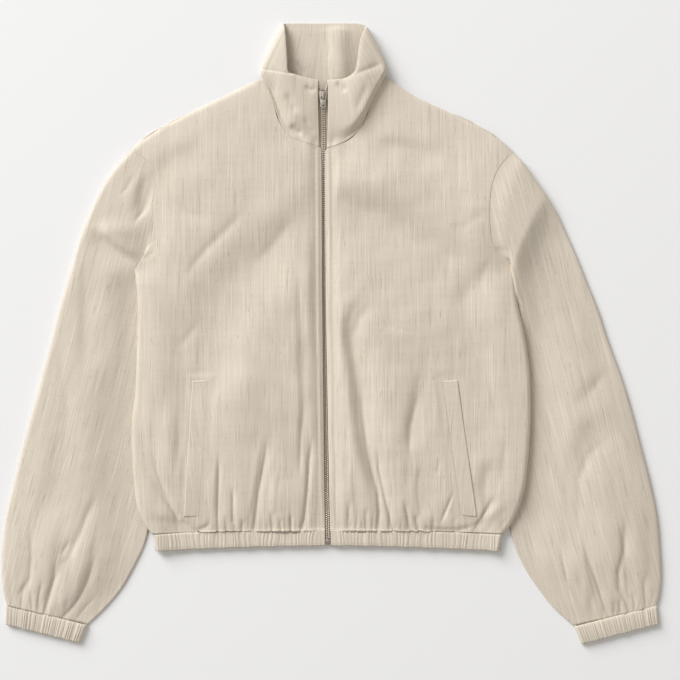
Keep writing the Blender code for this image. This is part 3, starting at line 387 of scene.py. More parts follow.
# Broad folds.  columns: width of the steep side, on the left of the path, width of the slow side, depth, points
FRONT_DRAPES = (
    (
        (40, 50, 9, (-206, -46), (-176, -14), (-146, 18), (-112, 68), (-60, 140)),
        (24, 28, 5.4, (-98, 50), (-66, 96), (-26, 160)), (34, 34, 7, (-200, -96), (-160, -50), (-110, -6)),
        (14, 36, 6, (-174, -180), (-171, -110), (-156, -30)),
        (5, 12, 2.4, (-26, -216), (-29, -150), (-34, -76), (-34, 0), (-36, 70)),
        (10, 20, 6, (-190, -216), (-221, -156), (-229, -100)),
        (3.4, 12, 1.4, (-26, -232), (-22, -170), (-20, -120)),
        (14, 30, 3.2, (-210, 186), (-188, 208), (-150, 226)),
        (3, 26, 1.6, (-98, -232), (-88, -176), (-80, -120)),
        (3.4, 20, 1.6, (-66, -232), (-64, -190), (-60, -160)),
        (9, 30, 4.2, (-236, -226), (-205, -229), (-170, -232)),
        (3.4, 20, 1.9, (-138, -232), (-137, -196), (-135, -150)),
    ),
    (
        (9, 22, 9.5, (58, -226), (50, -176), (39, -132), (31, -52), (25, 22), (48, 56)),
        (8, 20, 3, (95, -146), (99, -96), (112, -36)),
        (24, 60, 11, (-24, 160), (40, 148), (82, 128), (118, 104), (151, 82), (200, 50)),
        (12, 26, 7, (196, -226), (186, -190), (200, -146)), (12, 26, 4.2, (40, 228), (90, 222), (140, 206)),
        (4, 20, 1.6, (112, -226), (104, -190), (110, -150)), (14, 26, 4.2, (150, 20), (176, 60), (206, 76)),
        (9, 22, 5.2, (170, -232), (196, -226), (222, -206)), (3.4, 14, 1.6, (34, -232), (28, -190), (26, -150)),
    ),
)
# Soft swellings between the creases.  columns: x, y, half width across, half length up, height
SWELLS = (
    (-226, -206, 13, 26, 1.6), (-164, -100, 26, 60, 0.7), (-108, -206, 10, 24, 1.2), (-62, -206, 11, 30, 1.3),
    (-128, -216, 7, 16, 0.7), (-90, 20, 30, 60, 0.8), (-150, 190, 30, 26, 0.8), (-60, 190, 26, 30, 0.6),
    (16, -196, 9, 30, 1.2), (84, -212, 8, 18, 1.1), (66, -92, 18, 60, 1), (116, -220, 9, 12, 1.2),
    (148, -222, 8, 10, 0.8), (196, -222, 9, 12, 1), (222, -190, 10, 28, 1.3), (120, 20, 30, 60, 0.8),
    (60, 190, 34, 30, 0.7), (140, 190, 28, 26, 0.8),
)


def bell(off, reach):
    """1 on a line, falling softly to 0 within about two reaches of it."""
    return np.exp(-((off / reach) ** 2))


def sign_of(half):
    return (-1, 1)[half]


def pressed(x, y, creases):
    """Height that creases add: each is a soft trough between raised lips, and thins out at its free ends."""
    total = np.zeros(np.shape(x))
    for wide, deep, runs_out, *path in creases:
        off, side, share = beside(x, y, path)
        strength = eased(share / 0.45) if runs_out else eased(share / 0.35) * eased((1 - share) / 0.35)
        reach = wide * (0.85 - 0.40 * strength if runs_out else 0.72)
        # a gathered crease has one steep wall, away from the light, and one gentle wall
        off = off / (1 + 1.2 * runs_out * (side > 0))
        sharpness = 1.4 if wide < 4 else 2.0
        core = 0.80 * np.exp(-((off / (0.8 * reach)) ** sharpness)) + 0.45 * bell(off, 2.6 * reach)
        lips = (0.10 + 0.05 * side) * bell(off / reach - 2.4, 1.0)
        total += deep * strength * (lips - core)
    return total


def draped(x, y, folds):
    """Height that broad folds add: each falls steeply on the left of its path and climbs slowly on the right."""
    total = np.zeros(np.shape(x))
    for steep, slow, deep, *path in folds:
        off, side, share = beside(x, y, drawn(path, np.linspace(0, 1, 3 * len(path))))
        strength = eased(share / 0.3) * eased((1 - share) / 0.3)
        off = off / np.where(side > 0, steep, slow)
        total += deep * strength * (0.55 * bell(off, 2.0) - bell(off, 1.0))
    return total


def swollen(x, y, swells):
    """Height that soft round swellings add."""
    total = np.zeros(np.shape(x))
    for cx, cy, across, along, high in swells:
        total += high * bell(x - cx, across) * bell(y - cy, along)
    return total


def puckered(along, away, pitch, seed):
    """Height that small puckers take away: thin valleys of random depth that run out of a gathered seam."""
    place = along / pitch + 0.5 * np.sin(along / 29.0 + seed) + 0.012 * away * np.sin(along / 61.0 + seed)
    count = np.round(place)
    luck = (np.sin(count * 12.9898 + seed) * 43758.5453) % 1.0
    other = (np.sin(count * 78.233 + seed) * 12543.37) % 1.0
    off = np.abs(place - count) * pitch
    valley = 0.8 * np.exp(-((off / 1.3) ** 1.4)) + 0.2 * bell(off, 3.0)
    return (0.35 + 1.25 * luck) * valley * bell(np.maximum(away, 0), 5.0 + 17.0 * other)


def softly_over(rise, least):
    """Keeps a height above the least one, with no sharp corner where it takes over."""
    bend = 2.0
    return np.where(rise < least + bend, least + bend * np.exp(np.minimum(rise - least - bend, 0) / bend), rise)


def zip_at(y):
    """x of the zip's middle and height of its tape's underside."""
    keys, middles, heights = np.array(ZIP_RUN).T
    return np.interp(y, keys, middles), np.interp(y, keys, heights)


def zip_opening(y):
    """Half of the width of chain that shows between the fronts."""
    return np.interp(y, (-250, -225, -120, 40, 200, 225, 303), (3.2, 2.9, 2.5, 2.0, 1.9, 2.4, 3.6))


def rounded(off, reach):
    """A quarter-round rise from 0 to 1 over a distance."""
    t = np.clip(off / reach, 0, 1)
    return np.sqrt(1 - (1 - t) ** 2)


def waves(x, y, seed):
    """Broad shallow unevenness of cloth that lies on air, about 0.6 either way."""
    total = np.zeros(np.shape(x))
    for n, (long, high) in enumerate(((118, 0.30), (83, 0.24), (61, 0.20), (47, 0.15), (34, 0.11), (23, 0.07))):
        turn = 0.55 + 2.4 * n + seed
        run = x * math.cos(turn) + y * math.sin(turn)
        strayed = 0.9 * np.sin((x + 0.6 * y) / 57 + seed + n)
        total += high * np.sin(run * 2 * math.pi / long + 1.7 * n + seed + strayed)
    return total


def folded_edge(off, rise, turn, reach=34.0):
    """Height inside a folded edge: a short turn, then a gentle slope up to the rise."""
    return turn * rounded(off + 0.4, 6.5) + (rise - turn) * (1 - np.exp(-np.maximum(off, 0) / reach))


def front_top(x, y, half, mouth=0.0):
    """Height of a front's outer face; mouth is how deep the pocket's open edge is cut in."""
    side, _, _ = beside(x, y, drawn(SIDE[half], np.linspace(0, 1, 40)))
    shoulder, _, _ = beside(x, y, SHOULDER[half])
    armhole, _, _ = beside(x, y, drawn(ARMHOLE[half], np.linspace(0, 1, 30)))
    neck, _, _ = beside(x, y, NECK[half])
    above = y - hem_y(x)
    middle, tape = zip_at(y)
    from_zip = np.abs(x - middle)
    loft = LOFT - LAID_EDGE + BLOUSE * eased((above + 2) / 16) * (1 - eased((above - 30) / 90))
    loft = loft * (0.52 + 0.48 * (1 - np.exp(-np.maximum(above + 1, 0) / 42.0)))
    ox, oy, ix, iy, bx, by, cx, cy = WELTS[half]
    t = np.clip((oy - y) / (oy - by), 0, 1)
    welt_x = ((ox + ix) * (1 - t) + (bx + cx) * t) / 2
    off_welt = np.maximum(np.abs(x - welt_x) - 12.0, np.maximum(y - oy - 3.0, by - y - 2.0))
    free = eased(off_welt / 8.0)
    slit, _, _ = beside(x, y, ((ox - sign_of(half), oy - 2), (bx - sign_of(half), by + 2)))
    edge = np.minimum(side, shoulder)
    beside_zip = eased((from_zip - 9) / 12)
    creased = pressed(x, y, FRONT_CREASES[half]) + swollen(x, y, SWELLS)
    creased *= (0.12 + 0.88 * free) * beside_zip
    creased += draped(x, y, FRONT_DRAPES[half]) * (0.4 + 0.6 * free) * (0.3 + 0.7 * beside_zip)
    creased += waves(x, y, 0.7 + half) * (0.35 + 0.65 * free) * beside_zip
    # the cloth comes down in steps towards the zip, and lies flat under the welt
    flattened = 0.4 * (1 - free)
    for drop, start, over in ((2.2, 20, 13), (2.2, 40, 32), (1.7, 7.5, 5)):
        flattened += drop * eased((start - from_zip) / over)
    puckers = 0.16 * np.sin(y * 1.05 + 1.4 * np.sin(y * 0.11)) * bell(from_zip - 10.5, 3.2)
    neck_rise = -1.9 * bell(neck, 24.0) - 0.25 * bell(neck, 5.0)
    over_tape = np.maximum(0, tape - 1.7) * (1 - eased((from_zip - 14) / 16))
    to_seam = (loft + LAID_EDGE - SEAM_TOP[half]) * bell(armhole, SEAM_REACH[half]) + 0.15 * bell(armhole, 2.0)
    # a lapped edge stands up beside the zip, with its stitching pulled in
    lap = 0.35 * bell(from_zip - 6.0, 2.6) - 0.35 * bell(from_zip - STITCHED_AT, 1.4)
    creased -= mouth * bell(slit, 1.5)
    rise = loft + creased - flattened + puckers + neck_rise + over_tape - to_seam + lap
    rise -= puckered(x, above, 7.3, 1.0 + 4 * half) * beside_zip * (0.4 + 0.6 * eased(above / 4))
    # the left front's side stands up over the sleeve and shades it
    turn = EDGE_TURN + 3.5 * half * eased((124 - y) / 40) * eased((above - 6) / 40) * (side < shoulder)
    return LEAST_TOP + folded_edge(edge, softly_over(rise, LEAST_RISE), turn) + tucked(x, y)


def make_front(half, name, node):
    shoulder_rows = 34
    outer = body_outline(half, SIDE_ROWS, 50, shoulder_rows)
    joint = len(outer) - shoulder_rows
    neck = drawn(NECK[half], np.linspace(0, 1, shoulder_rows))
    rows = np.arange(len(outer))
    up_to_neck = (NECK[half][0][1] - 220.0) * (rows / joint) ** 3
    inner_y = np.where(rows < SIDE_ROWS, outer[:, 1], outer[:, 1] + up_to_neck)
    inner_y[0] = HEM_Y
    inner = np.stack([zip_at(inner_y)[0] + sign_of(half) * zip_opening(inner_y), inner_y], -1)
    inner[joint:] = neck
    share = np.linspace(0, 1, FRONT_COLUMNS)
    share = share + 0.012 * np.sin(2 * math.pi * share)
    x = outer[:, :1] + (inner[:, :1] - outer[:, :1]) * share
    y = outer[:, 1:] + (inner[:, 1:] - outer[:, 1:]) * share
    level = (rows / 10.0)[:, None]
    y = y + (hem_y(x) - y[0]) * np.clip(1 - level, 0, 1)
    y[0] = hem_y(x[0])
    z = front_top(x, y, half, mouth=0.35)
    piece = cloth_piece(name, np.stack([x, y, z], -1), np.stack([x + 900 * half, y], -1))
    return dressed(piece, cream_cloth, node)


front_right = make_front(0, "front_right_cloth", "front_right")
front_left = make_front(1, "front_left_cloth", "front_left")

# ------------------------------------------------------------------ sleeves
# Each sleeve is one cut piece, sewn into a tube and set into the armhole.  It lies nearly flat,
# under the body at its inner edge, with its fullness gathered and folded into the cuff.
SLEEVE_EXTRA = 3.6
SLEEVE_ROWS = 180
SLEEVE_COLUMNS = 120
ARMHOLE_LAP = 1.2       # how far a sleeve runs in under the body
# Sections from the armhole to the cuff.
# columns: outer x, outer y, inner x, inner y, bow towards the body, height, width kept flat inside
SLEEVES = (
    (
        (-254, 207, -233, 69, 18, 4.6, 6), (-266, 192.5, -229.6, 60, 10, 5.2, 9),
        (-279, 171, -227.4, 50, 4, 5.6, 12), (-290, 147, -225.6, 39, 0, 5.8, 15),
        (-299, 126, -229, 26, 0, 5.9, 15), (-307.6, 99, -227, 8, 0, 6, 19),
        (-316.4, 69, -223.4, -14, 0, 6.1, 22), (-327, 34, -221.4, -42, 0, 6.2, 23),
        (-337.4, -8, -220.4, -76, 0, 6.2, 24), (-349, -50, -220.2, -112, 0, 6.2, 26),
        (-360.4, -92, -219.6, -148, 0, 6.2, 26), (-371.6, -134, -218.6, -182, 0, 6.2, 25),
        (-382.6, -178, -218, -214, 0, 6.2, 25), (-393, -222, -224, -250, 0, 6.2, 18),
        (-397.2, -258, -238, -281, 0, 6.2, 5), (-398, -290, -253, -307, 0, 6, 3),
        (-395.6, -314, -273, -331, 0, 5.6, 2), (-391.4, -327.6, -294.6, -351.6, 0, 4.8, 2),
    ),
    (
        (232, 205, 217.2, 76, -14, 4.6, 6), (244, 188, 215.6, 66, -8, 5.2, 9),
        (258, 168, 215.6, 53, -3, 5.6, 12), (271, 147, 215.6, 41, 0, 5.8, 17),
        (283, 121, 220.4, 27, 0, 5.9, 15), (296, 92, 221.4, 8, 0, 6, 19), (308.6, 60, 220, -14, 0, 6.1, 24),
        (321, 30, 219.4, -42, 0, 6.2, 26), (333.6, -8, 219.2, -76, 0, 6.2, 27),
        (349, -50, 219, -112, 0, 6.2, 27), (362, -92, 217.6, -148, 0, 6.2, 26),
        (373, -134, 215, -182, 0, 6.2, 24), (385, -180, 212.6, -214, 0, 6.2, 26),
        (393.4, -222, 219, -250, 0, 6.2, 18), (396.4, -258, 232, -281, 0, 6.2, 5),
        (398, -290, 249, -307, 0, 6, 3), (396, -314, 268, -331, 0, 5.6, 2),
        (392, -328.6, 292.6, -353.4, 0, 4.8, 2),
    ),
)
# Creases: half width, depth, 1 when it runs out at a seam, then its points
SLEEVE_CREASES = (
    (
        (2.8, 3, 1, (-331, -270), (-333, -291), (-338.5, -309), (-346, -337)),
        (7, 2, 0, (-278, -187), (-293, -217), (-305, -248), (-317, -272), (-331, -283)),
        (3.2, 3.1, 1, (-282, -256), (-288, -279), (-294, -297), (-303, -317), (-314, -332), (-326, -344)),
        (3, 2.6, 1, (-279, -312), (-288, -321), (-297, -331), (-309, -347)),
        (2.6, 2.4, 1, (-279, -337), (-294, -351)),
        (5, 2.1, 1, (-362, -217), (-362, -247), (-361, -269), (-364, -296), (-375, -312)),
        (2.2, 2, 1, (-371, -300), (-374, -330)), (2.4, 1.8, 1, (-347, -292), (-352, -314), (-354, -334)),
        (2.2, 1.4, 1, (-362, -306), (-361, -334)), (3, 1.3, 1, (-386, -288), (-386, -326)),
        (12, 1.1, 0, (-266, -270), (-267, -296)), (4, 1.2, 0, (-314, -248), (-326, -269)),
        (9, 1.3, 0, (-298, 130), (-298, 30), (-300, -56)), (3, 1.4, 0, (-284, 130), (-282, 112)),
        (4, 1.5, 0, (-236, 195), (-247, 173), (-257, 166)),
        (3.5, 3.2, 0, (-213, 182), (-221, 165), (-228.6, 145), (-238, 131)),
        (10, 1.2, 0, (-330, -20), (-318, -80), (-322, -150)),
        (11, 1, 0, (-250, -90), (-268, -140), (-272, -200)), (9, 0.9, 0, (-255, 40), (-268, 10), (-272, -30)),
        (2, 1.1, 1, (-319, -318), (-321, -342)),
    ),
    (
        (4.5, 2.2, 0, (258, 158), (259, 145), (257, 128), (256, 112), (250, 98)),
        (3, 1.7, 0, (238, 100), (244, 82), (250, 67)), (8, 1.1, 0, (330, -46), (308, -76)),
        (9, 1.3, 0, (346, -116), (310, -146), (298, -176), (298, -260)),
        (5, 2.5, 1, (351, -199), (353, -231), (351, -260), (344, -289), (346, -308), (355, -323), (359, -336)),
        (3.4, 2.3, 1, (301, -236), (304, -257), (313, -284), (322, -308), (328, -327), (334, -342)),
        (3, 2.3, 1, (274, -236), (277, -269), (283, -296), (297, -321), (305, -334), (317, -347)),
        (3, 2.6, 1, (273, -326), (286, -338), (303, -352)),
        (3, 2.3, 1, (382, -284), (376, -299), (377, -313), (379, -332)),
        (2.2, 1.8, 1, (389, -306), (385, -330)), (2.2, 1.5, 1, (361, -310), (366, -334)),
        (2.2, 1.5, 1, (345, -318), (349, -338)), (2.2, 1.5, 1, (309, -312), (316, -344)),
        (10, 1, 0, (262, -60), (276, -120), (272, -180)), (9, 0.9, 0, (284, 70), (290, 20), (300, -20)),
        (2, 1.1, 1, (339, -320), (341, -341)), (10, 1, 0, (252, 60), (250, 20), (256, -30)),
    ),
)
# Broad folds.  columns: width of the steep side, on the left of the path, width of the slow side, depth, points
SLEEVE_DRAPES = (
    (
        (16, 26, 6.7, (-292, -70), (-290, 30), (-284, 120)), (10, 16, 8, (-230, 140), (-226, 166), (-216, 196)),
        (5.5, 20, 11.5, (-288, 130), (-272, 110), (-255, 97), (-232, 80)),
        (14, 26, 3.6, (-352, -240), (-330, -170), (-322, -110)),
        (5, 26, 2.2, (-312, -336), (-290, -284), (-280, -230)),
        (6, 20, 1.8, (-378, -320), (-374, -270), (-368, -220)),
        (16, 34, 4.2, (-340, -60), (-322, 0), (-306, 60)),
        (5, 24, 2.2, (-348, -338), (-334, -290), (-326, -250)),
    ),
    (
        (24, 34, 6.5, (296, -310), (286, -230), (296, -150), (356, -92)),
        (12, 20, 3.4, (286, -96), (318, -66), (350, -30)), (4, 22, 3, (360, -328), (353, -268), (346, -220)),
        (14, 30, 3.8, (330, -60), (322, 0), (304, 60)), (12, 26, 4.8, (250, -230), (256, -160), (254, -90)),
        (4, 22, 2.2, (324, -334), (311, -290), (304, -250)),
        (7, 22, 2.6, (384, -320), (384, -260), (374, -200)),
        (5, 24, 2.6, (288, -336), (272, -304), (256, -262)),
    ),
)
# Swellings: x, y, half width across, half length along, height
SLEEVE_SWELLS = (
    (
        (-268, 124, 22, 10, 4.2), (-340, -250, 12, 44, 1.4), (-306, -290, 10, 34, 1.3),
        (-283, -296, 7, 20, 0.9), (-358, -304, 8, 20, 1.1), (-378, -280, 9, 26, 1.2), (-272, -262, 12, 24, 0.9),
        (-322, -308, 8, 22, 1.3),
    ),
    (
        (270, 138, 9, 24, 1.8), (214, 128, 30, 44, 2), (330, -240, 16, 54, 1.4), (292, -286, 8, 30, 1.2),
        (368, -270, 10, 40, 1.3), (336, -306, 8, 22, 1.2), (270, -290, 9, 26, 1), (306, -308, 6, 20, 0.9),
    ),
)
# Line along which the left sleeve's cap hangs over its lower part, from below the armpit up.  columns: x, y
CAP_FOLD = ((236, -60), (224, 0), (215, 40), (215, 66), (222, 98), (235, 128), (256, 166))


def make_sleeve(half, name, node):
    sign = sign_of(half)
    across = np.linspace(0, 1, SLEEVE_COLUMNS)
    seam = drawn(ARMHOLE[half][::-1], across)
    tangent = np.gradient(seam, axis=0)
    tangent /= np.linalg.norm(tangent, axis=1)[:, None]
    normal = np.stack([-tangent[:, 1], tangent[:, 0]], -1)
    normal *= np.where(normal[:, :1] * sign < 0, -1, 1)
    at_seam = front_top(seam[:, 0], seam[:, 1], half)
    controls, limits = [seam - normal * ARMHOLE_LAP], [(4.3, 2.0)]
    for ax, ay, bx, by, bow, high, flat in SLEEVES[half]:
        line = np.array([ax, ay]) + (np.array([bx, by]) - (ax, ay)) * across[:, None]
        slope = np.array([-(by - ay), bx - ax]) / math.hypot(bx - ax, by - ay)
        slope = -slope if slope[0] > 0 else slope
        controls.append(line - slope * (bow * 4 * across * (1 - across))[:, None])
        limits.append((high, flat))
    packed = np.array([np.concatenate([points.ravel(), limit]) for points, limit in zip(controls, limits)])
    rows = drawn(packed, np.concatenate([[0, 0.0008, 0.0017], np.linspace(0.0027, 1, SLEEVE_ROWS - 3)]))
    points = rows[:, :-2].reshape(SLEEVE_ROWS, SLEEVE_COLUMNS, 2)
    high, flat = rows[:, -2:-1], rows[:, -1:]
    x, y = points[..., 0], points[..., 1]
    run = np.array([length_along(row) for row in points])
    from_outer, from_inner = run, run[:, -1:] - run
    down = length_along(points[:, SLEEVE_COLUMNS // 2])[:, None]
    left = down[-1] - down
    crown = (high + SLEEVE_EXTRA - LAID_EDGE) * (0.74 + 0.26 * (1 - np.exp(-np.maximum(left, 0) / 55.0)))
    crown = (crown + 2.6 * bell(left - 80, 42.0)) * (1 - 0.70 * half * eased((y + 70) / 130))
    creased = pressed(x, y, SLEEVE_CREASES[half]) + draped(x, y, SLEEVE_DRAPES[half])
    creased += swollen(x, y, SLEEVE_SWELLS[half])
    creased = (creased + 0.9 * waves(x, y, 2.1 + 1.3 * half)) * eased(down / 8 + 0.15)
    under_body = eased((from_inner - flat) / (62.0, 66.0)[half])
    off, side, _ = beside(x, y, drawn(CAP_FOLD, np.linspace(0, 1, 40)))
    over_side = half * np.exp(-((np.where(side > 0, 0, off) / 21.0) ** 1.5))
    over_side = over_side * eased((y + 10) / 60) * eased(from_inner / 15)
    crown = crown + creased - puckered(run, left, 7.0, 2.0 + 3 * half)
    shaped = folded_edge(from_outer, softly_over(crown, 1.0), EDGE_TURN * (1 - 0.4 * half))
    top = LEAST_TOP + np.maximum(shaped * under_body, 0)
    joined = eased((down - ARMHOLE_LAP) / (13, 22)[half])
    # the right sleeve slips under the body at the foot of its armhole
    joined = np.maximum(joined, (1 - half) * (1 - eased((from_inner - 4) / 24)))
    top = at_seam * (1 - joined) + top * joined
    groove = 0.15 * bell(down - ARMHOLE_LAP, 1.8) + 0.15 * eased(1 - down / 0.9)
    top = top + np.maximum(at_seam + 3.0 * joined - top, 0) * over_side - groove * (1 - 0.8 * half)
    top[:, 0] = top[:, -1] = LAID_EDGE / 2
    upper = np.stack([x, y, top], -1)
    under_at = np.linspace(1, SLEEVE_COLUMNS - 2, 26).round().astype(int)[::-1]
    by_armhole = (1 - eased((from_inner[:, under_at] - 16) / 10.0)) * eased((60 - down) / 20)
    tucked_in = CLOTH * np.maximum(1 - eased(down / 14.0), by_armhole)
    lower = np.stack([x[:, under_at], y[:, under_at], tucked_in], -1)
    lean = math.radians(14) * sign
    u, v = x * math.cos(lean) + y * math.sin(lean), y * math.cos(lean) - x * math.sin(lean)
    upper_grain = np.stack([u + 1900 + 1400 * half, v], -1)
    lower_grain = np.stack([-u[:, under_at] + 2500 + 1400 * half, v[:, under_at]], -1)
    grain = np.concatenate([upper_grain, lower_grain], 1)
    piece = cloth_piece(name, np.concatenate([upper, lower], 1), grain, ring=True)
    return dressed(piece, cream_cloth, node)


sleeve_right = make_sleeve(0, "sleeve_right_cloth", "sleeve_right")
sleeve_left = make_sleeve(1, "sleeve_left_cloth", "sleeve_left")

# ------------------------------------------------------------------ cuffs
# Short tubes of the same cloth, doubled and gathered by a hidden elastic, sewn to the sleeves.
DOUBLE = 1.8
CUFF_GATHERS = 24
CUFF_COLUMNS = 230
CUFF_ROWS = 18
CUFF_DEEP = 21.4
CUFF_EDGE = 2.15        # height of the cuff at its two ends
# columns: top corner at the outer end, top corner at the inner end, lower corners in the same order, each x, y
CUFFS = (
    (-392.6, -328, -295, -352.4, -393, -350, -302.6, -372.6),
    (392.6, -329, 293, -354, 395, -349.6, 301, -374),
)


def gathers(share, count, seed):
    """Uneven gathers along a band: height from 0 to about 1, narrow valleys between rounded ridges."""
    run = share * count
    phase = run + 0.30 * np.sin(run * 1.9 + seed) + 0.17 * np.sin(run * 3.1 + 2 * seed)
    strength = 0.72 + 0.20 * np.sin(run * 0.9 + 3 * seed) + 0.16 * np.sin(run * 2.3 + seed)
    return strength * np.abs(np.sin(math.pi * phase)) ** 0.6


def make_cuff(half, name, node):
    ax, ay, bx, by, cx, cy, ex, ey = CUFFS[half]
    share = np.linspace(0, 1, CUFF_COLUMNS)
    down = np.linspace(0, 1, CUFF_ROWS)[:, None]
    length = math.hypot(bx - ax, by - ay)
    edge = rounded(np.minimum(share, 1 - share) * length, 4.0)
    crimped = gathers(share + 0.001 * np.sin(9 * down), CUFF_GATHERS, 0.7 + half)
    held = 0.55 + 0.45 * np.sin(math.pi * np.clip(down, 0.06, 0.94)) ** 0.6
    z = CUFF_EDGE + (3.2 + 1.4 * crimped * held + 0.5 * np.sin(math.pi * down)) * edge
    wave = 0.35 * np.sin(share * 31 + half) * down
    dx = (cx - ax) * (1 - share) + (ex - bx) * share
    dy = (cy - ay) * (1 - share) + (ey - by) * share
    x = ax + (bx - ax) * share + dx * down
    y = ay + (by - ay) * share + dy * down - wave - 0.5 * crimped * (down > 0.97)
    top_row = bell(down * 20, 0.8)
    x, y, z = x - dx * 0.06 * top_row, y - dy * 0.06 * top_row, z - 0.8 * top_row * edge
    upper = np.stack([x, y, z], -1)
    under_at = np.linspace(2, CUFF_COLUMNS - 3, 40).round().astype(int)[::-1]
    lower = np.stack([x[:, under_at], y[:, under_at], 0 * x[:, under_at]], -1)
    run, start, fall = share * length * 1.9, 4000 + 400 * half, -CUFF_DEEP * down
    upper_grain = np.stack([run + start + 0 * down, fall + 0 * run], -1)
    lower_grain = np.stack([start + 300 - run[under_at] + 0 * down, fall + 0 * run[under_at]], -1)
    grain = np.concatenate([upper_grain, lower_grain], 1)
    piece = cloth_piece(name, np.concatenate([upper, lower], 1), grain, ring=True, thick=DOUBLE)
    return dressed(piece, cream_cloth, node)


cuff_right = make_cuff(0, "cuff_right_cloth", "cuff_right")
cuff_left = make_cuff(1, "cuff_left_cloth", "cuff_left")

# ------------------------------------------------------------------ hem band
# One doubled strip of the cloth with elastic inside, from the zip round the back to the zip
# again, sewn to the fronts and the back.  It is gathered most on the two fronts.
BAND_DEEP = 20.6
BAND_TOP = 3.2
BAND_ENDS = (-214.6, 205.6)
BAND_GATHERS = 37
BAND_ROWS = 20
BAND_COLUMNS = 360
FRONT_TO_ZIP = 3.6


def make_band():
    down = np.linspace(0, 1, BAND_ROWS)[:, None]
    middle = (BAND_TOP + DOUBLE) / 2
    skin = []
    held = 0.5 + 0.5 * np.sin(math.pi * np.clip(down, 0.05, 0.95)) ** 0.6
    for half, sign in ((0, -1), (1, 1)):
        zip_x, end = zip_at(-246.0)[0] + sign * FRONT_TO_ZIP, BAND_ENDS[half]
        share = np.linspace(0, 1, BAND_COLUMNS)
        share = share if half == 0 else share[::-1]
        x = zip_x + (end - zip_x) * share * (1 - 0.020 * down)
        from_end = np.abs(end - zip_x) * (1 - share) + 0 * down
        edge = rounded(from_end, 4.0)
        near_zip = eased((np.abs(x - zip_x) - 3) / 9)
        slanted = share - 0.010 * down + 0.0025 * np.sin(5 * down + 20 * share)
        crimped = gathers(slanted, BAND_GATHERS, 1.3 + half) * near_zip
        lift = tucked(x, hem_y(x))
        high = BAND_TOP + DOUBLE - middle + 1.1 + 1.1 * crimped * held - 0.4 * eased((down - 0.8) / 0.2)
        z = middle + high * edge + lift
        top_row = bell(down * BAND_DEEP, 0.8)
        z = z - 3.4 * top_row * edge
        y = hem_y(x) + 1.2 * top_row - BAND_DEEP * down
        y = y - (0.5 * np.sin(x * 0.23) + 0.7 * crimped) * (down > 0.97)
        skin.append(np.stack([x, y, z], -1))
        if half == 0:
            back_x = np.linspace(BAND_ENDS[0] + 1.8, BAND_ENDS[1] - 1.8, 90) + 0 * down
            back_y = hem_y(back_x) - SEAM_GAP - BAND_DEEP * down
            skin.append(np.stack([back_x, back_y, 0 * back_x + tucked(back_x, hem_y(back_x))], -1))
    grid = np.concatenate(skin, 1)
    along = length_along(grid[BAND_ROWS // 2]) * 1.25
    grain = np.stack([along[None, :] + 5000 + 0 * down, -BAND_DEEP * down + 0 * along], -1)
    piece = cloth_piece("hem_band_cloth", grid, grain, thick=DOUBLE)
    return dressed(piece, cream_cloth, "hem_band")


hem_band = make_band()

# ------------------------------------------------------------------ collar
# A stand collar of doubled cloth, sewn round the neck.  Its back lies flat, its sides are turned
# over, and its front stands up round the top of the zip.
COLLAR_LIFT = 1.4
COLLAR_DEEP = 80.0
COLLAR_COLUMNS = 300
COLLAR_ROWS = 56
ZIP_TOP_X = -10.0
# From the zip at -x round the back to the zip at +x.
# columns: seam x, y, z of the outer face; middle x, y, z; top edge x, y, z
COLLAR = (
    (-14.2, 225, 6.6, -15.8, 264, 13.2, -15.8, 304, 14.4),
    (-23, 227.4, 6.6, -22, 265, 13.8, -21.6, 304.8, 14.6),
    (-33.2, 230.4, 6.4, -32, 268, 14, -31.2, 306.8, 14.6),
    (-49.6, 238, 6.2, -45, 276, 13.6, -44.8, 310.8, 14.4), (-60, 251, 6, -54, 291, 13, -51.8, 314, 13.8),
    (-66.6, 268, 6, -62, 301, 12, -53, 329, 13), (-72.4, 284.6, 5.8, -68, 312, 10.6, -54.2, 345, 11.6),
    (-79, 299, 5.6, -73.4, 323, 8.6, -55.4, 359, 9.6), (-83.4, 309.4, 5, -76.8, 330.6, 6.6, -56.8, 369.2, 7),
    (-84.8, 311.4, 2.6, -78.4, 333, 3.2, -58.4, 373.4, 3.4), (-81.6, 309.6, 0, -75.4, 332, 0, -56.6, 374, 0),
    (-70, 299.4, 0, -60, 332, 0, -48, 374, 0), (-50, 294.8, 0, -40, 333, 0, -34, 374, 0),
    (-30, 293.6, 0, -24, 333, 0, -21, 374, 0), (-9, 293.5, 0, -8, 333, 0, -8, 374, 0),
    (12, 293.6, 0, 8, 333, 0, 6, 374, 0), (32, 294.8, 0, 24, 333, 0, 20, 374, 0),
    (52, 299.4, 0, 42, 332, 0, 32, 373.8, 0), (63.4, 309.2, 0, 58, 332, 0, 40.4, 371, 0),
    (66.6, 311, 2.6, 61.4, 333, 3.2, 42.8, 368.4, 3.4), (65.2, 309, 5, 59.6, 330, 6.6, 40.6, 365.6, 7),
    (60, 298.4, 5.6, 54.6, 321, 8.8, 36, 357, 9.8), (52.4, 284.6, 5.8, 49.6, 311, 10.8, 32.8, 342, 11.8),
    (45, 269, 6, 44, 299, 12.2, 30.8, 326, 13.2), (35.2, 248.4, 6, 36.6, 284, 13.2, 27.4, 313, 14),
    (22.6, 235.6, 6.2, 27, 272, 13.8, 18.6, 306.4, 14.6), (7, 227.4, 6.4, 9, 266, 14, 7, 304.4, 14.6),
    (-5.6, 224, 6.6, -4.3, 264, 13.2, -4.4, 304, 14.4),
)
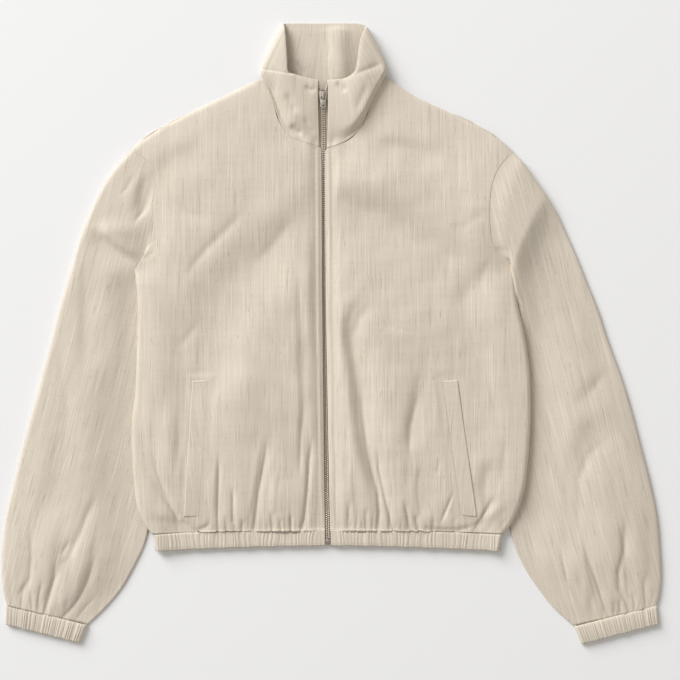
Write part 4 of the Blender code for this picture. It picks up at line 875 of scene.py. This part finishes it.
# Creases and dimples seen from above: half width, depth, 1 when it runs out at a seam, then its points
COLLAR_CREASES = (
    (4.6, 1.4, 0, (64, 325), (44, 316), (24, 308)), (4.4, 3.4, 0, (-50, 252), (-43, 243), (-34, 238)),
    (3, 1.6, 0, (-33, 297), (-26, 292), (-18, 291)), (3.2, 2.4, 0, (6, 304), (10, 296), (19, 288)),
    (6, 1.6, 0, (-56, 290), (-46, 272), (-40, 262)), (7, 1.2, 0, (44, 300), (34, 276), (28, 262)),
    (3, 1.1, 0, (-44, 330), (-36, 318), (-30, 309)), (3.6, 0.9, 0, (-8, 366), (-2, 344), (-4, 326)),
    (7, 4, 0, (-80, 312), (-72, 292), (-64, 266), (-54, 246)), (5, 1, 0, (-34, 262), (-26, 246), (-18, 236)),
)
# Swellings of the collar's inner back.  columns: x, y, half width across, half length up, height
COLLAR_SWELLS = ((8, 352, 13, 26, 4.8), (11, 318, 12, 24, 4.2), (-26, 336, 14, 26, 1.4))


def on_fronts(x, y):
    return np.where(x < ZIP_TOP_X, front_top(x, y, 0), front_top(x, y, 1))


def make_collar():
    columns = drawn(COLLAR, np.linspace(0, 1, COLLAR_COLUMNS))
    seam, middle, top = (columns[:, k:k + 3] for k in (0, 3, 6))
    level = np.linspace(0, 1, COLLAR_ROWS)[:, None]
    t = level[..., None]
    grid = seam * (1 - t) * (1 - 2 * t) + middle * 4 * t * (1 - t) + top * t * (2 * t - 1)
    z = np.maximum(grid[..., 2], 0.0)
    raised = eased(z / 5.0)
    x, y = grid[..., 0], grid[..., 1]
    # it sags at the zip and stands highest at its two sides, then turns down to the neck seam
    on_right, from_zip = x < ZIP_TOP_X, np.abs(x - ZIP_TOP_X)
    stands = np.where(on_right, 2.6, 5.4) * eased((from_zip - 6) / 52) * eased(level / 0.25)
    stands -= 0.6 * eased((16 - from_zip) / 12)
    rolls = np.where(on_right, 0.6, 4.2) * eased(level / 0.10) * (1 - 0.5 * eased((level - 0.1) / 0.5))
    rolls *= eased((from_zip - 14) / 30)
    soft = pressed(x, y, COLLAR_CREASES)
    off, side, _ = beside(x, y, ((-92, 319), (-70, 315), (-50, 311)))
    step = np.clip(off * side / 1.6, -1, 1) * 0.7 * bell(off, 16.0) + 1.5 * bell(off, 1.1)
    step *= x < -44
    turned = -0.7 * bell((1 - level) * COLLAR_DEEP, 3.0)
    z = z + raised * (COLLAR_LIFT - 0.8 + stands + rolls + soft - step + turned)
    back = (1 - raised) * eased(level * 6) * eased((1 - level) * 8)
    swell = swollen(x, y, COLLAR_SWELLS)
    z = z + back * np.maximum(0, 0.9 * soft + 0.4 + swell + 0.6 * waves(x, y, 4.0))
    # its seam sits on the fronts, and the edge under the seam is turned out over them
    front_side = raised[0] > 0.9
    fade = bell(level * COLLAR_DEEP, 9.0) * front_side
    grid[..., 2] = z * (1 - fade) + (on_fronts(x[0], y[0]) + 0.1) * fade
    outward = grid[0] - grid[1]
    outward *= (1.3 / np.linalg.norm(outward[:, :2], axis=1))[:, None]
    under = grid[0] + outward * np.where(front_side, 1.0, 0.3)[:, None]
    under[:, 2] = np.where(front_side, on_fronts(under[:, 0], under[:, 1]) - 0.1, grid[0, :, 2])
    grid = np.concatenate([under[None], grid])
    run, up = length_along(grid[COLLAR_ROWS // 2]), length_along(grid[:, COLLAR_COLUMNS // 2])
    grain = np.stack([run[None, :] + 6500 + 0 * up[:, None], up[:, None] + 0 * run], -1)
    piece = cloth_piece("collar_cloth", grid, grain, thick=DOUBLE)
    return dressed(piece, cream_cloth, "collar")


collar = make_collar()

# ------------------------------------------------------------------ pocket welts
# A folded strip of the cloth is sewn over each pocket's slanting mouth.  Its outer edge is open,
# and its two ends and inner edge are topstitched down.
WELT_RISE = 0.7
WELT_WIDE = 20.0
WELT_LONG = 164.0
WELT_THICK = 1.3


def welt_point(half, s, t):
    """Place on a welt: s from its outer to its inner edge, t from its top down."""
    ox, oy, ix, iy, bx, by, cx, cy = WELTS[half]
    x = (ox + (bx - ox) * t) * (1 - s) + (ix + (cx - ix) * t) * s
    y = (oy + (by - oy) * t) * (1 - s) + (iy + (cy - iy) * t) * s
    return x, y


def welt_rise(s):
    """Height of a welt's face over the front, most at its open edge and least where it is sewn."""
    return WELT_RISE * (0.06 + 0.94 * (1 - s) ** 0.7)


def make_welt(half, name, node):
    s, t = np.meshgrid(np.linspace(0, 1, 26), np.linspace(0, 1, 130))
    x, y = welt_point(half, s, t)
    from_end = np.minimum(t, 1 - t) * WELT_LONG
    off = np.minimum(s * WELT_WIDE, from_end)
    bowed = 0.20 * np.sin(t * 9 + half) * bell(s * WELT_WIDE, 5.0)
    sewn = np.minimum((1 - s) * WELT_WIDE, from_end)
    stitched = -0.10 * bell(sewn - 2.0, 0.8)
    ripple = 0.05 * np.sin(t * 150 + 2 * np.sin(t * 17)) * bell(sewn - 2.2, 1.8)
    lip = welt_rise(s) * rounded(off + 0.25, 1.3)
    z = front_top(x, y, half) + 0.10 - 0.45 * s**2 + lip + bowed + stitched + ripple
    grain = np.stack([x * 0.985 - y * 0.09 * sign_of(half) + 7600 + 300 * half, y], -1)
    piece = cloth_piece(name, np.stack([x, y, z], -1), grain, thick=WELT_THICK)
    return dressed(piece, cream_cloth, node)


welt_right = make_welt(0, "pocket_welt_right_cloth", "pocket_welt_right")
welt_left = make_welt(1, "pocket_welt_left_cloth", "pocket_welt_left")

# ------------------------------------------------------------------ zip tapes and teeth
# Two woven cotton tapes are sewn under the front edges.  Bright nickel teeth are crimped on each
# tape's edge, one row set half a step from the other, and they part above the slider.
TAPE_WIDTH = 13.0
TAPE_THICK = 0.8
TAPE_ENDS = (-247.6, 303.0)
TAPE_SAND = (0.640, 0.570, 0.462, 1.0)
TAPE_SHADE = (0.480, 0.415, 0.325, 1.0)
NICKEL = (0.800, 0.715, 0.600, 1.0)
NICKEL_WORN = (0.930, 0.870, 0.780, 1.0)
ZIP_OPEN_FROM = 283.0
ZIP_PART = 4.6
TOOTH_STEP = 2.6
TOOTH = (1.9, 3.3, 1.5)  # along the tape, across it, thick


def woven_tape():
    """Twill tape: fine slanting ribs."""
    material, shader, build = new_finish("twill_zip_tape", 0.8)
    place = build.node("ShaderNodeTexCoord", out=3)
    ribs = build.ribs("DIAGONAL", place, 420.0, 0.4)
    fuzz = build.noise(place, 900.0, 2.0)
    feed((0.35 * ribs + 0.6 * fuzz - 0.15).mixed(TAPE_SAND, TAPE_SHADE), shader, "Base Color")
    feed(0.7 + 0.2 * fuzz, shader, "Roughness")
    feed(build.bump(ribs + 0.4 * fuzz, 0.5, 0.0003), shader, "Normal")
    return material


def worn_nickel(name, hollow, rubbed, shine):
    """Antiqued nickel: dark in the hollows, brighter where it is rubbed, faintly scratched."""
    material, shader, build = new_finish(name, 0.38, shine)
    place = build.node("ShaderNodeTexCoord", out=3)
    patina, scratch = build.noise(place, 520.0, 3.0), build.noise(place, 2600.0, 2.0)
    edges = build.node("ShaderNodeNewGeometry", out=7).part(0.50, 0.58)
    worn = 0.55 * patina.part(0.42, 0.66) + 0.5 * edges
    feed(worn.mixed(hollow, rubbed), shader, "Base Color")
    feed(0.30 + 0.22 * patina + 0.10 * scratch, shader, "Roughness")
    feed(build.bump(scratch + patina, 0.25, 0.0001), shader, "Normal")
    return material


tape_cloth = woven_tape()
tooth_nickel = worn_nickel("bright_nickel", NICKEL, NICKEL_WORN, 0.5)


def row_shift(y):
    return ZIP_PART * eased((y - ZIP_OPEN_FROM) / 20.0)


def make_tape(half, name, node):
    y = np.linspace(*TAPE_ENDS, 300)[:, None]
    share = np.linspace(0, 1, 9)[None, :]
    middle, low = zip_at(y)
    near = 0.3 + row_shift(y)
    x = middle + sign_of(half) * (near + (TAPE_WIDTH - near) * share)
    z = low + TAPE_THICK + 0.25 * bell(share * 12, 1.2) + 0 * x
    piece = cloth_piece(name, np.stack([x, y + 0 * x, z], -1), np.stack([x, y + 0 * x], -1), thick=TAPE_THICK)
    return dressed(piece, tape_cloth, node)


def set_along_a_line(name, block_size, spacing, rounding, material):
    """A node tree that sets small rounded blocks along a curve, each turned to its direction."""
    tree = bpy.data.node_groups.new(name, "GeometryNodeTree")
    face = tree.interface
    face.new_socket("Line", in_out="INPUT", socket_type="NodeSocketGeometry")
    for title, value in zip(("Step", "Length", "Width", "Height"), (spacing, *block_size)):
        face.new_socket(title, in_out="INPUT", socket_type="NodeSocketFloat").default_value = value * MM
    face.new_socket("Blocks", in_out="OUTPUT", socket_type="NodeSocketGeometry")
    given, made, points, block, size, smoothed, place, real, finish = map(tree.nodes.new, (
        "NodeGroupInput", "NodeGroupOutput", "GeometryNodeCurveToPoints", "GeometryNodeMeshCube",
        "ShaderNodeCombineXYZ", "GeometryNodeSubdivisionSurface", "GeometryNodeInstanceOnPoints",
        "GeometryNodeRealizeInstances", "GeometryNodeSetMaterial",
    ))
    points.mode = "LENGTH"
    smoothed.inputs["Level"].default_value = 1
    smoothed.inputs["Edge Crease"].default_value = rounding
    finish.inputs["Material"].default_value = material
    for giver, output, taker, entry in (
        (given, "Line", points, "Curve"), (given, "Step", points, "Length"),
        (given, "Length", size, "X"), (given, "Width", size, "Y"), (given, "Height", size, "Z"),
        (size, "Vector", block, "Size"), (block, "Mesh", smoothed, "Mesh"),
        (points, "Points", place, "Points"), (smoothed, "Mesh", place, "Instance"),
        (points, "Rotation", place, "Rotation"), (place, "Instances", real, "Geometry"),
        (real, "Geometry", finish, "Geometry"), (finish, "Geometry", made, "Blocks"),
    ):
        tree.links.new(giver.outputs[output], taker.inputs[entry])
    return tree


def run_along(name, lines, tree):
    """One piece on the jacket: the tree's blocks set along several lines of points in mm."""
    curve = bpy.data.curves.new(name + "_line", "CURVE")
    curve.dimensions = "3D"
    for points in lines:
        spline = curve.splines.new("POLY")
        spline.points.add(len(points) - 1)
        flat = np.concatenate([points * MM, np.ones((len(points), 1))], 1)
        spline.points.foreach_set("co", flat.ravel())
    guide = bpy.data.objects.new(name + "_line", curve)
    bpy.context.scene.collection.objects.link(guide)
    guide.modifiers.new("set_out", "NODES").node_group = tree
    bpy.context.view_layer.update()
    mesh = bpy.data.meshes.new_from_object(guide.evaluated_get(bpy.context.evaluated_depsgraph_get()))
    bpy.data.objects.remove(guide)
    mesh.name = name
    mesh.shade_smooth()
    piece = bpy.data.objects.new(name, mesh)
    bpy.context.scene.collection.objects.link(piece)
    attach(piece, "jacket")


tape_right = make_tape(0, "zip_tape_right_woven", "zip_tape_right")
tape_left = make_tape(1, "zip_tape_left_woven", "zip_tape_left")

tooth_rows = []
for half in (0, 1):
    y = np.arange(-247.0 + half * TOOTH_STEP / 2, TAPE_ENDS[1], TOOTH_STEP / 2)
    x, z = zip_at(y)
    tooth_x = x + sign_of(half) * (1.15 + row_shift(y))
    tooth_rows.append(np.stack([tooth_x, y, z + TAPE_THICK + TOOTH[2] / 2], -1))
tooth_tree = set_along_a_line("zip_teeth", TOOTH, TOOTH_STEP, 0.55, tooth_nickel)
run_along("zip_teeth", tooth_rows, tooth_tree)

# ------------------------------------------------------------------ zip slider, pull tab and box
# The slider is two nickel plates on a post, with a crown that holds the tab's pin.  The tab hangs
# towards the hem and swings on the pin.  The box is pressed round the lower ends of both rows.
SLIDER_NICKEL = (0.400, 0.350, 0.290, 1.0)
SLIDER_WORN = (0.640, 0.590, 0.520, 1.0)
SLIDER_Y = 284.8
SLIDER_LONG = 12.0
PLATE_HALF = 5.3
PLATE_THICK = 1.2
CROWN_HALF = 1.1
POST_Y = 288.4


slider_nickel = worn_nickel("antique_dark_nickel", SLIDER_NICKEL, SLIDER_WORN, 1.0)


def metal_blocks(name, blocks, round_off, body, node):
    """Bevelled blocks in one mesh.  columns: low corner, high corner, share of the width kept at the hem end"""
    bm = bmesh.new()
    for low, high, narrow in blocks:
        made = bmesh.ops.create_cube(bm, size=1.0)["verts"]
        low, high = np.array(low, float), np.array(high, float)
        for vert in made:
            share = np.array(vert.co) + 0.5
            x, y, z = low + (high - low) * share
            middle = (low[0] + high[0]) / 2
            x = middle + (x - middle) * (narrow if share[1] < 0.5 else 1.0)
            vert.co = (x * MM, y * MM, z * MM)
    bmesh.ops.bevel(bm, geom=bm.edges[:], offset=round_off * MM, segments=2, profile=0.6, affect="EDGES")
    bmesh.ops.recalc_face_normals(bm, faces=bm.faces)
    mesh = bpy.data.meshes.new(name)
    bm.to_mesh(mesh)
    bm.free()
    mesh.shade_smooth()
    mesh.set_sharp_from_angle(angle=math.radians(40))
    piece = bpy.data.objects.new(name, mesh)
    bpy.context.scene.collection.objects.link(piece)
    return dressed(piece, slider_nickel, node, body)


def block(middle, x0, x1, y0, y1, z0, z1, narrow=1.0):
    return (middle + x0, y0, z0), (middle + x1, y1, z1), narrow


slider_x, slider_low = (float(value) for value in zip_at(SLIDER_Y))
plate_top, plate_low = slider_low + 2.54, slider_low - 0.54
hem_end, neck_end = SLIDER_Y - SLIDER_LONG / 2, SLIDER_Y + SLIDER_LONG / 2
face = plate_top + PLATE_THICK
slider = [
    block(slider_x, -PLATE_HALF, PLATE_HALF, hem_end, neck_end, plate_top, face, 0.755),
    block(slider_x, -3.6, 3.6, hem_end + 1.0, neck_end - 1.2, face - 0.2, face + 0.35, 0.74),
    block(slider_x, -PLATE_HALF, PLATE_HALF, hem_end + 0.6, neck_end, plate_low - PLATE_THICK, plate_low, 0.755),
    block(slider_x, -0.5, 0.5, POST_Y, neck_end - 0.2, plate_low - 0.5, plate_top + 0.5),
]
for x0, x1 in ((-PLATE_HALF, -4.5), (4.5, PLATE_HALF)):
    slider.append(block(slider_x, x0, x1, hem_end + 1.2, neck_end - 2.4, plate_top - 0.9, plate_top + 0.3))
for y0, y1, z0, z1, narrow in ((-3.6, 3.6, 1.9, 2.9, 0.9), (-3.6, -2.6, -0.4, 2.2, 1), (2.6, 3.6, -0.4, 2.2, 1)):
    slider.append(block(slider_x, -CROWN_HALF, CROWN_HALF, SLIDER_Y + y0, SLIDER_Y + y1,
                        face + z0, face + z1, narrow))
metal_blocks("slider_nickel", slider, 0.28, "jacket", "zip_slider")

# Blocks of the tab, from the pin down.
# columns: x from, x to, y from, y to, half thickness, share of the width kept at the hem end
PULL_TAB = (
    (-3.1, 3.1, -0.6, 0.6, 0.55, 1), (-3.4, -1.9, -5.2, 0.5, 0.5, 1), (1.9, 3.4, -5.2, 0.5, 0.5, 1),
    (-3.4, 3.4, -11.4, -4.7, 0.5, 1), (-3.4, -2.1, -13.4, -11, 0.5, 1), (2.1, 3.4, -13.4, -11, 0.5, 1),
    (-3.4, 3.4, -14.4, -12.8, 0.5, 0.8), (-2, 2, -10.4, -6, 0.62, 1),
)
pin_z = face + 0.95
metal_blocks("pull_tab_nickel", [
    block(slider_x, x0, x1, SLIDER_Y + y0, SLIDER_Y + y1, pin_z - thick, pin_z + thick, narrow)
    for x0, x1, y0, y1, thick, narrow in PULL_TAB
], 0.26, "pull", "zip_pull")

box_x, box_z = (float(value) for value in zip_at(-251.0))
metal_blocks("zip_box_nickel", [
    block(box_x, -3.2, 3.2, -254.5, -247.9, box_z, box_z + 3.2, 0.92),
    block(box_x, -2.2, 2.2, -253.4, -249.2, box_z + 2.9, box_z + 3.5, 0.92),
], 0.5, "jacket", "zip_box")

# ------------------------------------------------------------------ topstitching
# Lockstitches in thread of the cloth's colour, 2.2 mm long and one every 2.9 mm, run beside the
# zip and round three sides of each welt.  They sit in the dents that they pull.
STITCH = (0.42, 0.42, 2.2)
STITCH_STEP = 2.9
THREAD = (0.700, 0.630, 0.520, 1.0)
THREAD_SHADE = (0.600, 0.530, 0.430, 1.0)


def thread_finish():
    """Spun polyester thread."""
    material, shader, build = new_finish("cream_thread", 0.6)
    place = build.node("ShaderNodeTexCoord", out=3)
    fibre = build.noise(place, 3000.0, 1.0)
    feed(fibre.mixed(THREAD, THREAD_SHADE), shader, "Base Color")
    feed(0.5 + 0.2 * fibre, shader, "Roughness")
    return material


cream_thread = thread_finish()
seams = []
for half in (0, 1):
    y = np.linspace(-231.0, 214.0, 220)
    x = zip_at(y)[0] + sign_of(half) * STITCHED_AT
    seams.append(np.stack([x, y, front_top(x, y, half) + 0.05], -1))
    for s0, t0, s1, t1 in ((0.1, 0.012, 0.9, 0.012), (0.9, 0.012, 0.9, 0.988), (0.9, 0.988, 0.1, 0.988)):
        share = np.linspace(0, 1, 60)
        s, t = s0 + (s1 - s0) * share, t0 + (t1 - t0) * share
        x, y = welt_point(half, s, t)
        seams.append(np.stack([x, y, front_top(x, y, half) + 0.08 + welt_rise(s)], -1))
stitch_tree = set_along_a_line("topstitches", STITCH, STITCH_STEP, 0.0, cream_thread)
run_along("topstitches", seams, stitch_tree)

# ------------------------------------------------------------------ floor, light and camera
# The jacket lies on a plain pale surface, under soft light from the upper left, seen from straight
# above.
FLOOR = (0.90, 0.90, 0.90, 1.0)
LENS = 85.0
SENSOR = 36.0
VIEW_WIDE = 0.816       # metres across the picture
LAMP_AWAY = 9.0
floor_mesh = bpy.data.meshes.new("floor")
floor_mesh.from_pydata([(-3, -3, 0), (3, -3, 0), (3, 3, 0), (-3, 3, 0)], [], [(0, 1, 2, 3)])
floor = bpy.data.objects.new("floor", floor_mesh)
floor.location.z = -0.0004
bpy.context.scene.collection.objects.link(floor)
floor_finish, floor_shader, _ = new_finish("matt_paper", 0.9)
floor_shader.inputs["Base Color"].default_value = FLOOR
floor_shader.inputs["Specular IOR Level"].default_value = 0.1
floor_mesh.materials.append(floor_finish)

world = bpy.data.worlds.new("studio")
world.use_nodes = True
world.node_tree.nodes["Background"].inputs["Color"].default_value = (1.03, 1.0, 0.95, 1.0)
world.node_tree.nodes["Background"].inputs["Strength"].default_value = 0.45
bpy.context.scene.world = world

softbox = bpy.data.lights.new("softbox_upper_left", "AREA")
softbox.shape, softbox.size, softbox.energy = "SQUARE", 5.4, 900.0
softbox.color = (0.985, 1.0, 1.03)
lamp = bpy.data.objects.new("softbox_upper_left", softbox)
lamp.location = Vector((-0.85, 0.90, 0.68)).normalized() * LAMP_AWAY
lamp.rotation_euler = (-lamp.location).to_track_quat("-Z", "Y").to_euler()
bpy.context.scene.collection.objects.link(lamp)

camera_data = bpy.data.cameras.new("overhead")
camera_data.lens, camera_data.sensor_width = LENS, SENSOR
camera = bpy.data.objects.new("overhead", camera_data)
camera.location = (0.0102, -0.0080, 0.012 + VIEW_WIDE * LENS / SENSOR)
bpy.context.scene.collection.objects.link(camera)
bpy.context.scene.camera = camera
bpy.context.scene.view_settings.view_transform = "Standard"
